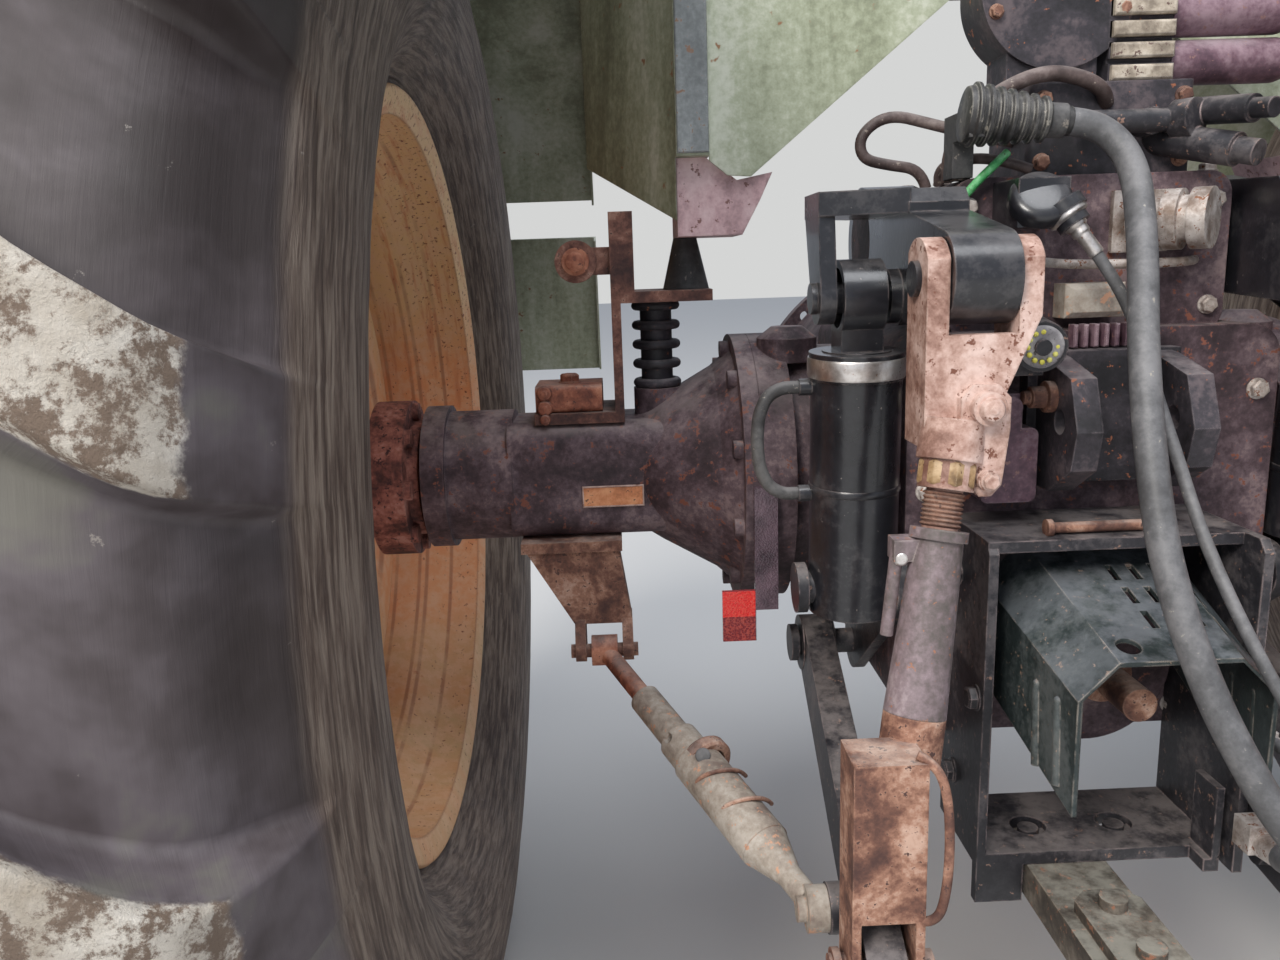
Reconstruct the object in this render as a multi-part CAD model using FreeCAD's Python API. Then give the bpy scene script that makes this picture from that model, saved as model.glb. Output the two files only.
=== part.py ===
import FreeCAD, Part
import math
import os

# Rear end of a farm tractor: transaxle case, two driven wheels, three-point hitch and rear panels.
# Millimetres. +X is the tractor's right, +Y its front, +Z up.
# Shapes are drawn about the centre of the axle and saved about the centre of the front flange.

V = FreeCAD.Vector

# Driving sizes
AXLE_TO_FLANGE = 480.0      # axle centre to the face of the front flange
HALF_TRACK = 1020.0         # tractor centre to wheel centre
FIT = 0.08                  # radial clearance of a shaft in its bore
SEAT = 0.3                  # gap between pieces that are bolted face to face
SHEET = 4.0                 # thickness of fender and cab panels
FENDER_GAP = 58.0           # from the lug tips to the fender

# Wheels
TYRE_R = 872.0              # to the lug tips
TREAD_R = 830.0             # between the lugs
TYRE_LUG = 42.0             # height of the lugs
LUGS = 20                   # on each side of the tread
LUG_WIDE = 62.0             # thickness of a lug around the tread
LUG_LEAN = 14.0             # degrees a lug runs back from its shoulder to the middle
LUG_INNER = 18.0            # start of a lug from the wheel's middle
TYRE_WALL = 26.0
TYRE_HALF = 322.0           # half of the section width at the bulge
TYRE_BULGE_R = 690.0
BEAD_R = 483.0
RIM_HALF = 240.0            # rim centre to the edge of a rim flange
RIM_FLANGE_R = 508.0
RIM_WELL_R = 445.0
RIM_PLATE = 9.0
DISC_X = 900.0              # inner face of the wheel disc, from the tractor centre
DISC_PLATE = 14.0
HUB_FLANGE_R = 104.0
HUB_PLATE_R = 165.0         # carrier of the wheel bolts, outside the hub's neck
HUB_FLANGE = 16.0
HUB_COLLAR = 46.0
WHEEL_BOLT_R = 11.0
WHEEL_BOLT_PCD = 275.0
WHEEL_BOLTS = 10
SHAFT_R = 45.0

# Transaxle case
CASE_HALF = 200.0
CASE_REAR = -290.0
CASE_FRONT = 200.0
CASE_BOTTOM = -262.0
CASE_TOP = 190.0
BELL_R = 245.0
FLANGE_R = 265.0
FLANGE_THICK = 28.0
FLANGE_PCD = 490.0
FLANGE_HOLES = 12
FLANGE_HOLE_R = 8.75
INPUT_R = 24.0
DRUM_R = 160.0
DRUM_FLANGE_R = 178.0
DRUM_END = 338.0
LIFT_HALF = 150.0           # half width of the lift housing on top of the case
LIFT_FRONT = 100.0
LIFT_REAR = -262.0
LIFT_ROOF = 60.0            # rockshaft centre to the top of the lift housing

# Axle housings
TRUMPET_FLANGE = 22.0
BELL_PROFILE = ((360.0, 158.0), (384.0, 137.0), (455.0, 97.0), (500.0, 68.0))  # (X, radius)
BOX_START = 478.0
BOX_END = 655.0
BOX_HIGH = 150.0
BOX_DEEP = 160.0
ROUND_END = 766.0
ROUND_R = 87.5
TRUMPET_BORE_R = 58.0
SEAL_THICK = 20.0

# Cab mounts
SPRING_X = 456.0
SPRING_R = 32.0
SPRING_LOW = 112.0          # height of the spring's seat on the housing
MOUNT_TOP = 226.0           # underside of the strap above the spring

# Lift linkage, (Y, Z) about the axle centre
SHAFT_AT = (-140.0, 290.0)      # rockshaft
ARM_END = (-443.0, 252.0)       # top pin of the lift rod
ARM_X = 187.0                   # middle of the lift arm
ARM_WIDE = 60.0
FORK_WIDE = 102.0           # across the ears of the lift rod's top fork
FORK_EAR = 20.0
FOOT_GAP = 6.0              # lower link to each ear of the lift rod's foot
FOOT_EAR = 8.0
FOOT_DEEP = 52.0
TUBE_TOP_R = 22.0
TUBE_LOW_R = 28.0
SCREW_R = 16.0
LINK_PIVOT = (-100.0, -222.0)   # front pin of the lower link and of the stabiliser
LINK_ROD_PIN = (-560.0, -357.0)  # bottom pin of the lift rod
LINK_X = 262.0                  # lower link at its front pin
LINK_SPLAY = 0.0645             # outward run of the link for each millimetre rearward
LINK_BALL_RUN = 893.0           # rearward run from front pin to ball
LINK_THICK = 36.0
LINK_HIGH = 72.0
BALL_R = 33.0
BALL_BORE_R = 18.7
BALL_WIDE = 45.0
ROCKSHAFT_R = 45.0
ROCK_BOSS_R = 58.0
ARM_HUB_R = 62.0
ARM_BOSS_R = 42.0
ARM_PIN_R = 16.0
ARM_CROWN = 338.0               # top of the arm over the cylinder
CYL_FOOT = (-285.0, -85.0)
CYL_EYE = (-300.0, 232.0)
CYL_X = 257.0
CYL_R = 48.0
CYL_BORE_R = 40.0
CYL_TOP = 262.0                 # foot pin to the top of the gland
GLAND_HIGH = 28.0
CYL_FLOOR = 48.0                # foot pin to the bottom of the bore
CYL_ROD_R = 36.0
CYL_RAM_DROP = 54.0         # end of the ram below its eye
CHEEK_R = 27.0              # round end of the lift arm's cheek at the cylinder
CHEEK_THICK = 17.0
CYL_EYE_R = 39.0
CYL_EYE_BORE_R = 31.0
CYL_EYE_WIDE = 44.0
CYL_PIN_R = 19.0
STAB_PIN_R = 9.0
STAB_X = 540.0                  # stabiliser eye on the axle bracket
STAB_REAR = 397.0               # rearward run of the stabiliser
STAB_TUBE_R = 19.0
STAB_BODY_R = 27.0

# Hitch frame, power take-off and drawbar
FRAME_HALF = 150.0
FRAME_LEFT = 152.0
FRAME_RIGHT = 112.0
FRAME_PLATE = 10.0
FRAME_REAR = -415.0
FRAME_REAR_RIGHT = -445.0
FRAME_TOP = -5.0
FRAME_LOW = -345.0
SIDE_BAR_X = 114.0          # inner face of the bar beside the frame
SIDE_BAR_THICK = 12.0
PTO_Z = -175.0
PTO_R = 17.45
PTO_LENGTH = 76.0
PTO_END = -430.0
GUARD_REAR = -520.0
GUARD_X = -14.0             # middle of the guard
GUARD_FRONT_HALF = 110.0
GUARD_REAR_HALF = 92.0
GUARD_SHEET = 5.0
DRAWBAR_HALF = 42.0
DRAWBAR_X = -56.0
DRAWBAR_THICK = 38.0
DRAWBAR_REAR = -900.0
DRAWBAR_HOLE_R = 15.5

# Fenders and rear cab panel
FENDER_R = TYRE_R + FENDER_GAP
FENDER_INNER_X = 546.0
FENDER_FRONT = 3.0          # degrees above the axle at which the skin starts
FENDER_BACK = 140.0
FENDER_SLOT = (21.0, 26.0)  # gap beside the cab, degrees
FENDER_SLOT_X = 800.0
FENDER_STEP_X = 850.0       # outer edge of the part below the slot
FENDER_OUTER_X = 1330.0
FENDER_ARCH_R = 420.0
PANEL_Y = -100.0
PANEL_TOP = 760.0
PANEL_FOOT = 397.0          # underside of the posts
POST_X = 390.0
POST_WIDE = 40.0


def direction(a, b):
    d = b.sub(a)
    d.normalize()
    return d


def box(x0, x1, y0, y1, z0, z1):
    low = V(min(x0, x1), min(y0, y1), min(z0, z1))
    return Part.makeBox(abs(x1 - x0), abs(y1 - y0), abs(z1 - z0), low)


def rod(a, b, r):
    return Part.makeCylinder(r, b.sub(a).Length, a, direction(a, b))


def tube(a, b, r, bore):
    extra = direction(a, b)
    return rod(a, b, r).cut(rod(a.sub(extra), b.add(extra), bore))


def pin_x(x0, x1, at, r):
    """Cylinder along X from x0 to x1 at (Y, Z)."""
    return Part.makeCylinder(r, abs(x1 - x0), V(min(x0, x1), at[0], at[1]), V(1, 0, 0))


def polygon(points):
    return Part.Face(Part.makePolygon(points + [points[0]]))


def plate_x(outline, x0, x1):
    """Plate parallel to YZ, outline of (Y, Z) points, from x0 to x1."""
    low = min(x0, x1)
    return polygon([V(low, y, z) for y, z in outline]).extrude(V(abs(x1 - x0), 0, 0))


def plate_y(outline, y0, y1):
    """Plate parallel to XZ, outline of (X, Z) points, from y0 to y1."""
    low = min(y0, y1)
    return polygon([V(x, low, z) for x, z in outline]).extrude(V(0, abs(y1 - y0), 0))


def plate_z(outline, z0, z1):
    """Plate parallel to XY, outline of (X, Y) points, from z0 to z1."""
    low = min(z0, z1)
    return polygon([V(x, y, low) for x, y in outline]).extrude(V(0, 0, abs(z1 - z0)))


def lever_x(a, ra, b, rb, x0, x1):
    """Plate parallel to YZ with round ends of radius ra at a and rb at b, joined by their tangents."""
    run = math.hypot(b[0] - a[0], b[1] - a[1])
    along = math.atan2(b[1] - a[1], b[0] - a[0])
    spread = math.acos((ra - rb) / run)
    corners = []
    for centre, r, side in ((a, ra, 1), (b, rb, 1), (b, rb, -1), (a, ra, -1)):
        angle = along + side * spread
        corners.append((centre[0] + r * math.cos(angle), centre[1] + r * math.sin(angle)))
    web = plate_x(corners, x0, x1)
    return web.fuse(pin_x(x0, x1, a, ra)).fuse(pin_x(x0, x1, b, rb)).removeSplitter()


def fuse(*shapes):
    joined = shapes[0].multiFuse(list(shapes[1:]))
    return joined.removeSplitter()


def revolve_x(profile):
    """Solid of revolution about the X axis from (X, radius) points."""
    face = polygon([V(x, 0, r) for x, r in profile])
    return face.revolve(V(0, 0, 0), V(1, 0, 0), 360)


def round_edges(shape, radius, along):
    """Fillet the straight edges that run along one axis."""
    picked = []
    for edge in shape.Edges:
        if edge.Curve.TypeId == "Part::GeomLine":
            d = edge.tangentAt(edge.FirstParameter)
            if abs(d.dot(along)) > 0.999:
                picked.append(edge)
    return shape.makeFillet(radius, picked)


def mirrored(shape):
    return shape.mirror(V(0, 0, 0), V(1, 0, 0))


def save(name, shape):
    placed = shape.copy()
    placed.translate(V(0, -AXLE_TO_FLANGE, 0))
    placed.exportStep("parts/" + name + ".step")


def save_pair(name, left):
    save(name + "_left", left)
    save(name + "_right", mirrored(left))


def save_both(name, left):
    """One node with the left piece and its mirror image on the right."""
    save(name, Part.makeCompound([left, mirrored(left)]))


def hose(name, points, diameter):
    """Tube along straight runs joined by tangent arcs, each as large as its runs allow."""
    edges = []
    radii = []
    start = points[0]
    for i in range(1, len(points) - 1):
        before = direction(points[i], points[i - 1])
        after = direction(points[i], points[i + 1])
        short = min(points[i].sub(points[i - 1]).Length, points[i + 1].sub(points[i]).Length)
        half_turn = (math.pi - before.getAngle(after)) / 2
        reach = 0.45 * short
        radius = reach / math.tan(half_turn)
        enter = points[i] + before * reach
        leave = points[i] + after * reach
        middle = before + after
        middle.normalize()
        crown = points[i] + middle * (radius / math.cos(half_turn) - radius)
        edges.append(Part.LineSegment(start, enter).toShape())
        edges.append(Part.Arc(enter, crown, leave).toShape())
        radii.append(radius)
        start = leave
    edges.append(Part.LineSegment(start, points[-1]).toShape())
    path = Part.Wire(edges)
    ring = Part.Wire(Part.makeCircle(diameter / 2, points[0], direction(points[0], points[1])))
    solid = path.makePipeShell([ring], True, False)
    wanted = path.Length * math.pi * diameter ** 2 / 4
    print(name, "length", round(path.Length), "radii", [round(r) for r in radii],
          "volume share", round(solid.Volume / wanted, 4))
    return solid


def link_point(run):
    """Point on the left lower link, run millimetres rearward of its front pin, as a vector."""
    slope = (LINK_ROD_PIN[1] - LINK_PIVOT[1]) / (LINK_ROD_PIN[0] - LINK_PIVOT[0])
    return V(-LINK_X - LINK_SPLAY * run, LINK_PIVOT[0] - run, LINK_PIVOT[1] - slope * run)


# Case
def make_case():
    body = box(-CASE_HALF, CASE_HALF, CASE_REAR, CASE_FRONT, CASE_BOTTOM, CASE_TOP)
    body = round_edges(body, 35, V(0, 1, 0))
    bell = Part.makeCylinder(BELL_R, AXLE_TO_FLANGE - 120, V(0, 120, 0), V(0, 1, 0))
    flange = Part.makeCylinder(FLANGE_R, FLANGE_THICK, V(0, AXLE_TO_FLANGE - FLANGE_THICK, 0), V(0, 1, 0))
    drum = pin_x(-DRUM_END + 40, DRUM_END - 40, (0, 0), DRUM_R)
    lips = []
    for side in (-1, 1):
        lips.append(pin_x(side * (DRUM_END - 40), side * DRUM_END, (0, 0), DRUM_FLANGE_R))
    lift = box(-LIFT_HALF, LIFT_HALF, LIFT_REAR, LIFT_FRONT, CASE_TOP - 10, SHAFT_AT[1] + LIFT_ROOF)
    lift = round_edges(lift, 25, V(0, 1, 0))
    boss = pin_x(-LIFT_HALF, LIFT_HALF, SHAFT_AT, ROCK_BOSS_R)
    pto_boss = Part.makeCylinder(90, 40, V(0, CASE_REAR - 30, PTO_Z), V(0, 1, 0))
    case = fuse(body, bell, flange, drum, lips[0], lips[1], lift, boss, pto_boss)
    case = case.cut(pin_x(-300, 300, SHAFT_AT, ROCKSHAFT_R + FIT))
    pto_bore = Part.makeCylinder(30 + FIT, 60, V(0, CASE_REAR - 31, PTO_Z), V(0, 1, 0))
    case = case.cut(pto_bore)
    for side in (-1, 1):
        dome = Part.makeCylinder(38, 30, V(side * 292, -62, DRUM_R - 14), V(0, 0, 1))
        case = case.fuse(dome).fuse(Part.makeCone(38, 20, 14, V(side * 292, -62, DRUM_R + 16), V(0, 0, 1)))
    holes = []
    for i in range(FLANGE_HOLES):
        a = 2 * math.pi * i / FLANGE_HOLES + math.pi / FLANGE_HOLES
        centre = V(FLANGE_PCD / 2 * math.cos(a), AXLE_TO_FLANGE - FLANGE_THICK - 1, FLANGE_PCD / 2 * math.sin(a))
        holes.append(Part.makeCylinder(FLANGE_HOLE_R, FLANGE_THICK + 2, centre, V(0, 1, 0)))
    for hole in holes:
        case = case.cut(hole)
    recess = Part.makeCylinder(150, 60, V(0, AXLE_TO_FLANGE - 60, 0), V(0, 1, 0))
    stub = Part.makeCylinder(INPUT_R, 75, V(0, AXLE_TO_FLANGE - 80, 0), V(0, 1, 0))
    case = case.cut(recess).fuse(stub)
    sockets = []
    for side in (-1, 1):
        sockets.append(pin_x(side * (DRUM_END - 60), side * (DRUM_END + 1), (0, 0), TRUMPET_BORE_R))
    for socket in sockets:
        case = case.cut(socket)
    save("transaxle_case", case)


# Axle housings, left one drawn
def make_axle_housing():
    start = DRUM_END + SEAT
    flange = pin_x(-start, -start - TRUMPET_FLANGE, (0, 0), DRUM_FLANGE_R)
    last = BELL_PROFILE[-1][0]
    bell = revolve_x([(-start - TRUMPET_FLANGE + 1, 0)] + [(-x, r) for x, r in BELL_PROFILE] + [(-last, 0)])
    beam = box(-BOX_END, -BOX_START + 60, -BOX_DEEP / 2, BOX_DEEP / 2, -BOX_HIGH / 2, BOX_HIGH / 2)
    beam = round_edges(beam, 28, V(1, 0, 0))
    end = pin_x(-BOX_END + 5, -ROUND_END + 30, (0, 0), ROUND_R)
    seat = Part.makeCylinder(SPRING_R, SPRING_LOW, V(-SPRING_X, 0, 0), V(0, 0, 1))
    nose = pin_x(-ROUND_END + 30, -ROUND_END, (0, 0), ROUND_R + 8)
    housing = fuse(flange, bell, beam, end, nose, seat)
    for i in range(10):
        a = math.radians(36 * i + 18)
        at = (0.89 * DRUM_FLANGE_R * math.cos(a), 0.89 * DRUM_FLANGE_R * math.sin(a))
        housing = housing.fuse(pin_x(-start - TRUMPET_FLANGE + 1, -start - TRUMPET_FLANGE - 12, at, 11))
    bore = pin_x(-start + 1, -ROUND_END + SEAL_THICK, (0, 0), TRUMPET_BORE_R)
    seal = pin_x(-ROUND_END + SEAL_THICK + 1, -ROUND_END - 1, (0, 0), SHAFT_R + FIT)
    save_pair("axle_housing", housing.cut(bore).cut(seal))


# Wheels, left one drawn
def make_hub():
    face = DISC_X - SEAT
    shaft = pin_x(-DRUM_END + 40, -face, (0, 0), SHAFT_R)
    neck = pin_x(-ROUND_END - 6, -face + 10, (0, 0), 78)
    collar = pin_x(-ROUND_END - 20, -ROUND_END - 20 - HUB_COLLAR, (0, 0), HUB_FLANGE_R)
    disc = pin_x(-face + HUB_FLANGE, -face, (0, 0), HUB_PLATE_R)
    pilot = pin_x(-face, -face - DISC_PLATE - 30, (0, 0), 88)
    hub = fuse(shaft, neck, collar, disc, pilot)
    for i in range(8):
        a = 2 * math.pi * i / 8
        knob = (0.86 * HUB_FLANGE_R * math.cos(a), 0.86 * HUB_FLANGE_R * math.sin(a))
        hub = hub.fuse(pin_x(-ROUND_END - 12, -ROUND_END - 22, knob, 12))
    save_pair("hub", hub)


def make_rim():
    c = HALF_TRACK
    t = RIM_PLATE
    inner = c - RIM_HALF
    outer = c + RIM_HALF
    profile = [
        (-inner, RIM_FLANGE_R), (-inner, RIM_FLANGE_R - t), (-inner - t, BEAD_R - 12),
        (-inner - 60, BEAD_R - 16), (-inner - 95, RIM_WELL_R - t), (-outer + 110, RIM_WELL_R - t),
        (-outer + 60, BEAD_R - 16), (-outer + t, BEAD_R - 12), (-outer, RIM_FLANGE_R - t),
        (-outer, RIM_FLANGE_R), (-outer + t, RIM_FLANGE_R - 4), (-outer + t + 2, BEAD_R - 2),
        (-outer + 62, BEAD_R - 6), (-outer + 112, RIM_WELL_R), (-inner - 97, RIM_WELL_R),
        (-inner - 62, BEAD_R - 6), (-inner - t - 2, BEAD_R - 2), (-inner - t, RIM_FLANGE_R - 4)]
    barrel = revolve_x(profile)
    d = DISC_X
    p = DISC_PLATE
    disc = revolve_x([
        (-d, 90), (-d, 190), (-d - 26, 235), (-d - 26, 300), (-d - 8, 330), (-d - 8, 385),
        (-d - 52, RIM_WELL_R - t + 1), (-d - 52 - p, RIM_WELL_R - t + 1), (-d - 8 - p, 393),
        (-d - 8 - p, 336), (-d - 26 - p, 306), (-d - 26 - p, 229), (-d - p, 184), (-d - p, 90)])
    rim = barrel.fuse(disc)
    for i in range(WHEEL_BOLTS):
        a = 2 * math.pi * i / WHEEL_BOLTS
        at = (WHEEL_BOLT_PCD / 2 * math.cos(a), WHEEL_BOLT_PCD / 2 * math.sin(a))
        rim = rim.cut(pin_x(-d + 1, -d - p - 1, at, WHEEL_BOLT_R))
    save_pair("rim", rim)


def make_tyre():
    """Carcass turned about the axle, with slanting lugs that alternate from side to side."""
    c = HALF_TRACK
    bead = RIM_HALF - RIM_PLATE - 2 - SEAT
    shoulder = TREAD_R - TYRE_LUG
    outline = [(bead, BEAD_R - 2 + SEAT), (bead, RIM_FLANGE_R + 8), (RIM_HALF - 2, RIM_FLANGE_R + 14),
               (TYRE_HALF - 28, RIM_FLANGE_R + 52), (TYRE_HALF - 4, RIM_FLANGE_R + 104),
               (TYRE_HALF, TYRE_BULGE_R - 30), (TYRE_HALF - 14, TYRE_BULGE_R + 30),
               (TYRE_HALF - 42, shoulder - 22), (TYRE_HALF - 92, TREAD_R - 10), (TYRE_HALF / 3, TREAD_R)]
    left = [(-c + x, r) for x, r in outline]
    right = [(-c - x, r) for x, r in reversed(outline)]
    carcass = revolve_x(left + right)
    half = LUG_WIDE / 2
    rise = TYRE_R * math.tan(math.radians(LUG_LEAN))
    profile = [V(-c + LUG_INNER, 0, TREAD_R - 30), V(-c + LUG_INNER, 0, TYRE_R),
               V(-c + TYRE_HALF - 88, 0, TYRE_R - 3), V(-c + TYRE_HALF - 44, 0, TREAD_R - 4),
               V(-c + TYRE_HALF - 20, 0, shoulder - 38), V(-c + TYRE_HALF - 36, 0, shoulder - 60)]
    lug_bars = []
    for i in range(LUGS):
        for side in (1, -1):
            turn = 360.0 * (i + (0.5 if side < 0 else 0)) / LUGS
            lug = lug_solid(profile, half, rise, c, side)
            lug.rotate(V(0, 0, 0), V(1, 0, 0), turn)
            lug_bars.append(lug)
    tyre = carcass.multiFuse(lug_bars)
    print("tyre valid", tyre.isValid(), "solids", len(tyre.Solids))
    save_pair("tyre", tyre)


# Fenders, left one drawn
def make_fender():
    def sector(r0, r1, a0, a1, x0, x1):
        arc = []
        steps = max(2, int(round((a1 - a0) / 5)))
        for r, order in ((r1, range(steps + 1)), (r0, range(steps, -1, -1))):
            for i in order:
                a = math.radians(a0 + (a1 - a0) * i / steps)
                arc.append((r * math.cos(a), r * math.sin(a)))
        return plate_x(arc, -x0, -x1)

    r = FENDER_R
    low, high = FENDER_SLOT
    upper = sector(r, r + SHEET, high, FENDER_BACK, FENDER_INNER_X, FENDER_OUTER_X)
    between = sector(r, r + SHEET, low - 1, high + 1, FENDER_SLOT_X, FENDER_OUTER_X)
    lower = sector(r, r + SHEET, FENDER_FRONT, low, FENDER_INNER_X, FENDER_OUTER_X)
    inner_lip = sector(r - 26, r + 1, high, FENDER_BACK, FENDER_INNER_X, FENDER_INNER_X + SHEET)
    outer_lip = sector(r - 40, r + 1, high, FENDER_BACK, FENDER_OUTER_X - SHEET, FENDER_OUTER_X)
    edge = sector(r - 22, r + 1, FENDER_FRONT, low, FENDER_INNER_X, FENDER_INNER_X + SHEET)
    save_pair("fender", fuse(upper, between, lower, inner_lip, outer_lip, edge))


def make_rear_panel():
    half = POST_X
    outline = [(-half, 392), (-half + 22, 374), (-half + 50, 372), (-106, 562), (106, 562),
               (half - 50, 372), (half - 22, 374), (half, 392), (half, PANEL_TOP), (-half, PANEL_TOP)]
    pieces = [plate_y(outline, PANEL_Y, PANEL_Y + SHEET)]
    outer = FENDER_INNER_X - SHEET - SEAT
    for side in (-1, 1):
        post = side * (half + POST_WIDE)
        pieces.append(box(side * half, post, PANEL_Y - 10, PANEL_Y + 30, PANEL_FOOT, PANEL_TOP))
        strip = plate_z([(post, PANEL_Y), (post, PANEL_Y + SHEET), (side * (outer - SHEET), 140),
                         (side * outer, 140)], 312, PANEL_TOP)
        cut = plate_x([(PANEL_Y - 20, 300), (PANEL_Y - 20, 316), (150, 412), (150, 300)], side * 380, side * 560)
        pieces.append(strip.cut(cut))
        seat = side * (FENDER_INNER_X - SEAT)
        pieces.append(box(side * (outer - SHEET), seat, 100, 140, PANEL_TOP - 120, FENDER_R - 16))
    save("rear_panel", fuse(*pieces))


# Cab mounts on the axle housings, left one drawn
def make_cab_mount():
    top = BOX_HIGH / 2 + SEAT
    foot = box(-618, -502, -70, 50, top, top + 14)
    web = box(-514, -502, -70, 50, top, 240)
    flange = box(-514, -386, -70, 50, MOUNT_TOP, MOUNT_TOP + 14)
    arm = box(-514, -484, -70, -40, 240, 338)
    boss = Part.makeCylinder(26, 60, V(-556, -80, 279), V(0, 1, 0))
    ear = box(-570, -500, -60, -40, 262, 296)
    mount = fuse(foot, web, flange, arm, boss, ear)
    save_both("cab_mounts", mount)
    clamp = box(-616, -530, -66, 30, top + 14 + SEAT, top + 14 + SEAT + 34)
    save_both("axle_clamps", round_edges(clamp, 8, V(1, 0, 0)))
    low = SPRING_LOW + SEAT
    coil = rod(V(-SPRING_X, 0, low), V(-SPRING_X, 0, MOUNT_TOP - SEAT), 21)
    turns = 5
    pitch = (MOUNT_TOP - SEAT - low - 12) / (turns - 1)
    for i in range(turns):
        coil = coil.fuse(Part.makeTorus(26, 6, V(-SPRING_X, 0, low + 6 + i * pitch), V(0, 0, 1)))
    save_both("cab_springs", coil)
    cone = Part.makeCone(30, 15, 64, V(-416, -20, MOUNT_TOP + 14 + SEAT), V(0, 0, 1))
    save_both("cab_rubbers", cone)
    low = MOUNT_TOP + 14 + 64 + 2 * SEAT
    top = PANEL_FOOT - SEAT
    pad = plate_y([(-429, low), (-429, top), (-394, top), (-356, 369), (-313, 377), (-328, 345), (-350, low)], -90, 20)
    save_both("cab_feet", pad)


def make_stabiliser_bracket():
    top = -BOX_HIGH / 2 - SEAT
    y, z = LINK_PIVOT
    pad = box(-643, -512, -95, 60, top - 14, top)
    rib = plate_y([(-636, top - 14), (-516, top - 14), (-STAB_X + 38, z + 34), (-STAB_X - 38, z + 34)], -92, -52)
    pieces = [pad, rib]
    for side in (-1, 1):
        x0 = -STAB_X + side * 24
        x1 = -STAB_X + side * 38
        ear = plate_x([(-52, z + 40), (-62, z - 6), (y, z - 14), (y - 10, z + 10), (-92, z + 40)], x0, x1)
        pieces.append(ear.fuse(pin_x(x0, x1, (y, z), 14)))
    pieces.append(pin_x(-STAB_X - 44, -STAB_X + 44, (y, z), STAB_PIN_R))
    save_both("stabiliser_brackets", fuse(*pieces))


def make_stabiliser():
    y, z = LINK_PIVOT
    front = V(-STAB_X, y, z)
    aim = link_point(STAB_REAR)
    end = V(aim.x - LINK_THICK / 2 - 22 - SEAT - 10, aim.y, aim.z)
    d = direction(front, end)
    at = lambda s: front + d * s
    eye = pin_x(-STAB_X - 17, -STAB_X + 17, (y, z), 20)
    neck = rod(at(12), at(150), 12)
    screw = fuse(eye, neck).cut(pin_x(-600, -480, (y, z), STAB_PIN_R + FIT))
    save_pair("stabiliser_rod", screw)
    length = end.sub(front).Length
    sleeve = rod(at(112), at(208), STAB_TUBE_R)
    ring = rod(at(196), at(236), STAB_TUBE_R + 5)
    body = rod(at(234), at(length - 86), STAB_BODY_R)
    sleeve = fuse(sleeve, ring, body).cut(rod(at(111), at(156), 12 + FIT))
    hole = rod(at(214) + V(-40, 0, 30), at(214) + V(40, 0, -30), 6)
    cut_down = V(0, 0, -1).cross(d)
    cut_down.normalize()
    taper = Part.makeCone(STAB_BODY_R, 13, 44, at(length - 88), d)
    tail = rod(at(length - 48), at(length - 12), 13)
    lug_eye = Part.makeCylinder(22, 20, V(end.x - 10, end.y, end.z), V(1, 0, 0))
    bolt = Part.makeCylinder(12, 9, V(end.x - 19, end.y, end.z), V(1, 0, 0))
    save_pair("stabiliser_tube", fuse(sleeve, taper, tail, lug_eye, bolt).cut(hole))


def barrel_ring(centre, r, half, bore):
    """Ball of radius r cut flat at half to each side along X, with a bore."""
    edge = math.sqrt(r * r - half * half)
    crown = Part.Arc(V(-half, 0, edge), V(0, 0, r), V(half, 0, edge)).toShape()
    rest = Part.makePolygon([V(half, 0, edge), V(half, 0, bore), V(-half, 0, bore), V(-half, 0, edge)])
    ring = Part.Face(Part.Wire([crown] + rest.Edges)).revolve(V(0, 0, 0), V(1, 0, 0), 360)
    ring.translate(centre)
    return ring


def make_lower_link():
    y, z = LINK_PIVOT
    front = link_point(0)
    ball = link_point(LINK_BALL_RUN)
    d = direction(front, ball)
    width = V(LINK_THICK / 2, 0, 0)
    up = d.cross(V(1, 0, 0))
    if up.z < 0:
        up = up * -1
    up.normalize()

    def bar(s0, s1, h0, h1):
        a = front + d * s0
        b = front + d * s1
        corners = [a + up * (h0 / 2), b + up * (h1 / 2), b - up * (h1 / 2), a - up * (h0 / 2)]
        return polygon([p - width for p in corners]).extrude(width * 2)

    length = ball.sub(front).Length
    eye = pin_x(-LINK_X - 21, -LINK_X + 21, LINK_PIVOT, 36)
    beam = bar(0, length - 30, LINK_HIGH, LINK_HIGH - 8)
    boss = Part.makeCylinder(50, BALL_WIDE - 4, ball - V(BALL_WIDE / 2 - 2, 0, 0), V(1, 0, 0))
    lug_at = link_point(STAB_REAR)
    lug = Part.makeCylinder(24, 24, V(lug_at.x - LINK_THICK / 2 - 22, lug_at.y, lug_at.z), V(1, 0, 0))
    link = fuse(eye, beam, boss, lug)
    link = link.cut(pin_x(-LINK_X - 30, -LINK_X + 30, LINK_PIVOT, 16 + FIT))
    rod_pin = link_point(LINK_PIVOT[0] - LINK_ROD_PIN[0])
    hole = Part.makeCylinder(27, LINK_THICK + 30, rod_pin - V(LINK_THICK / 2 + 15, 0, 0), V(1, 0, 0))
    link = link.cut(hole)
    link = link.cut(barrel_ring(ball, BALL_R + SEAT, BALL_WIDE / 2, 0))
    save_pair("lower_link", link)
    save_pair("link_ball", barrel_ring(ball, BALL_R, BALL_WIDE / 2, BALL_BORE_R))


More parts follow.
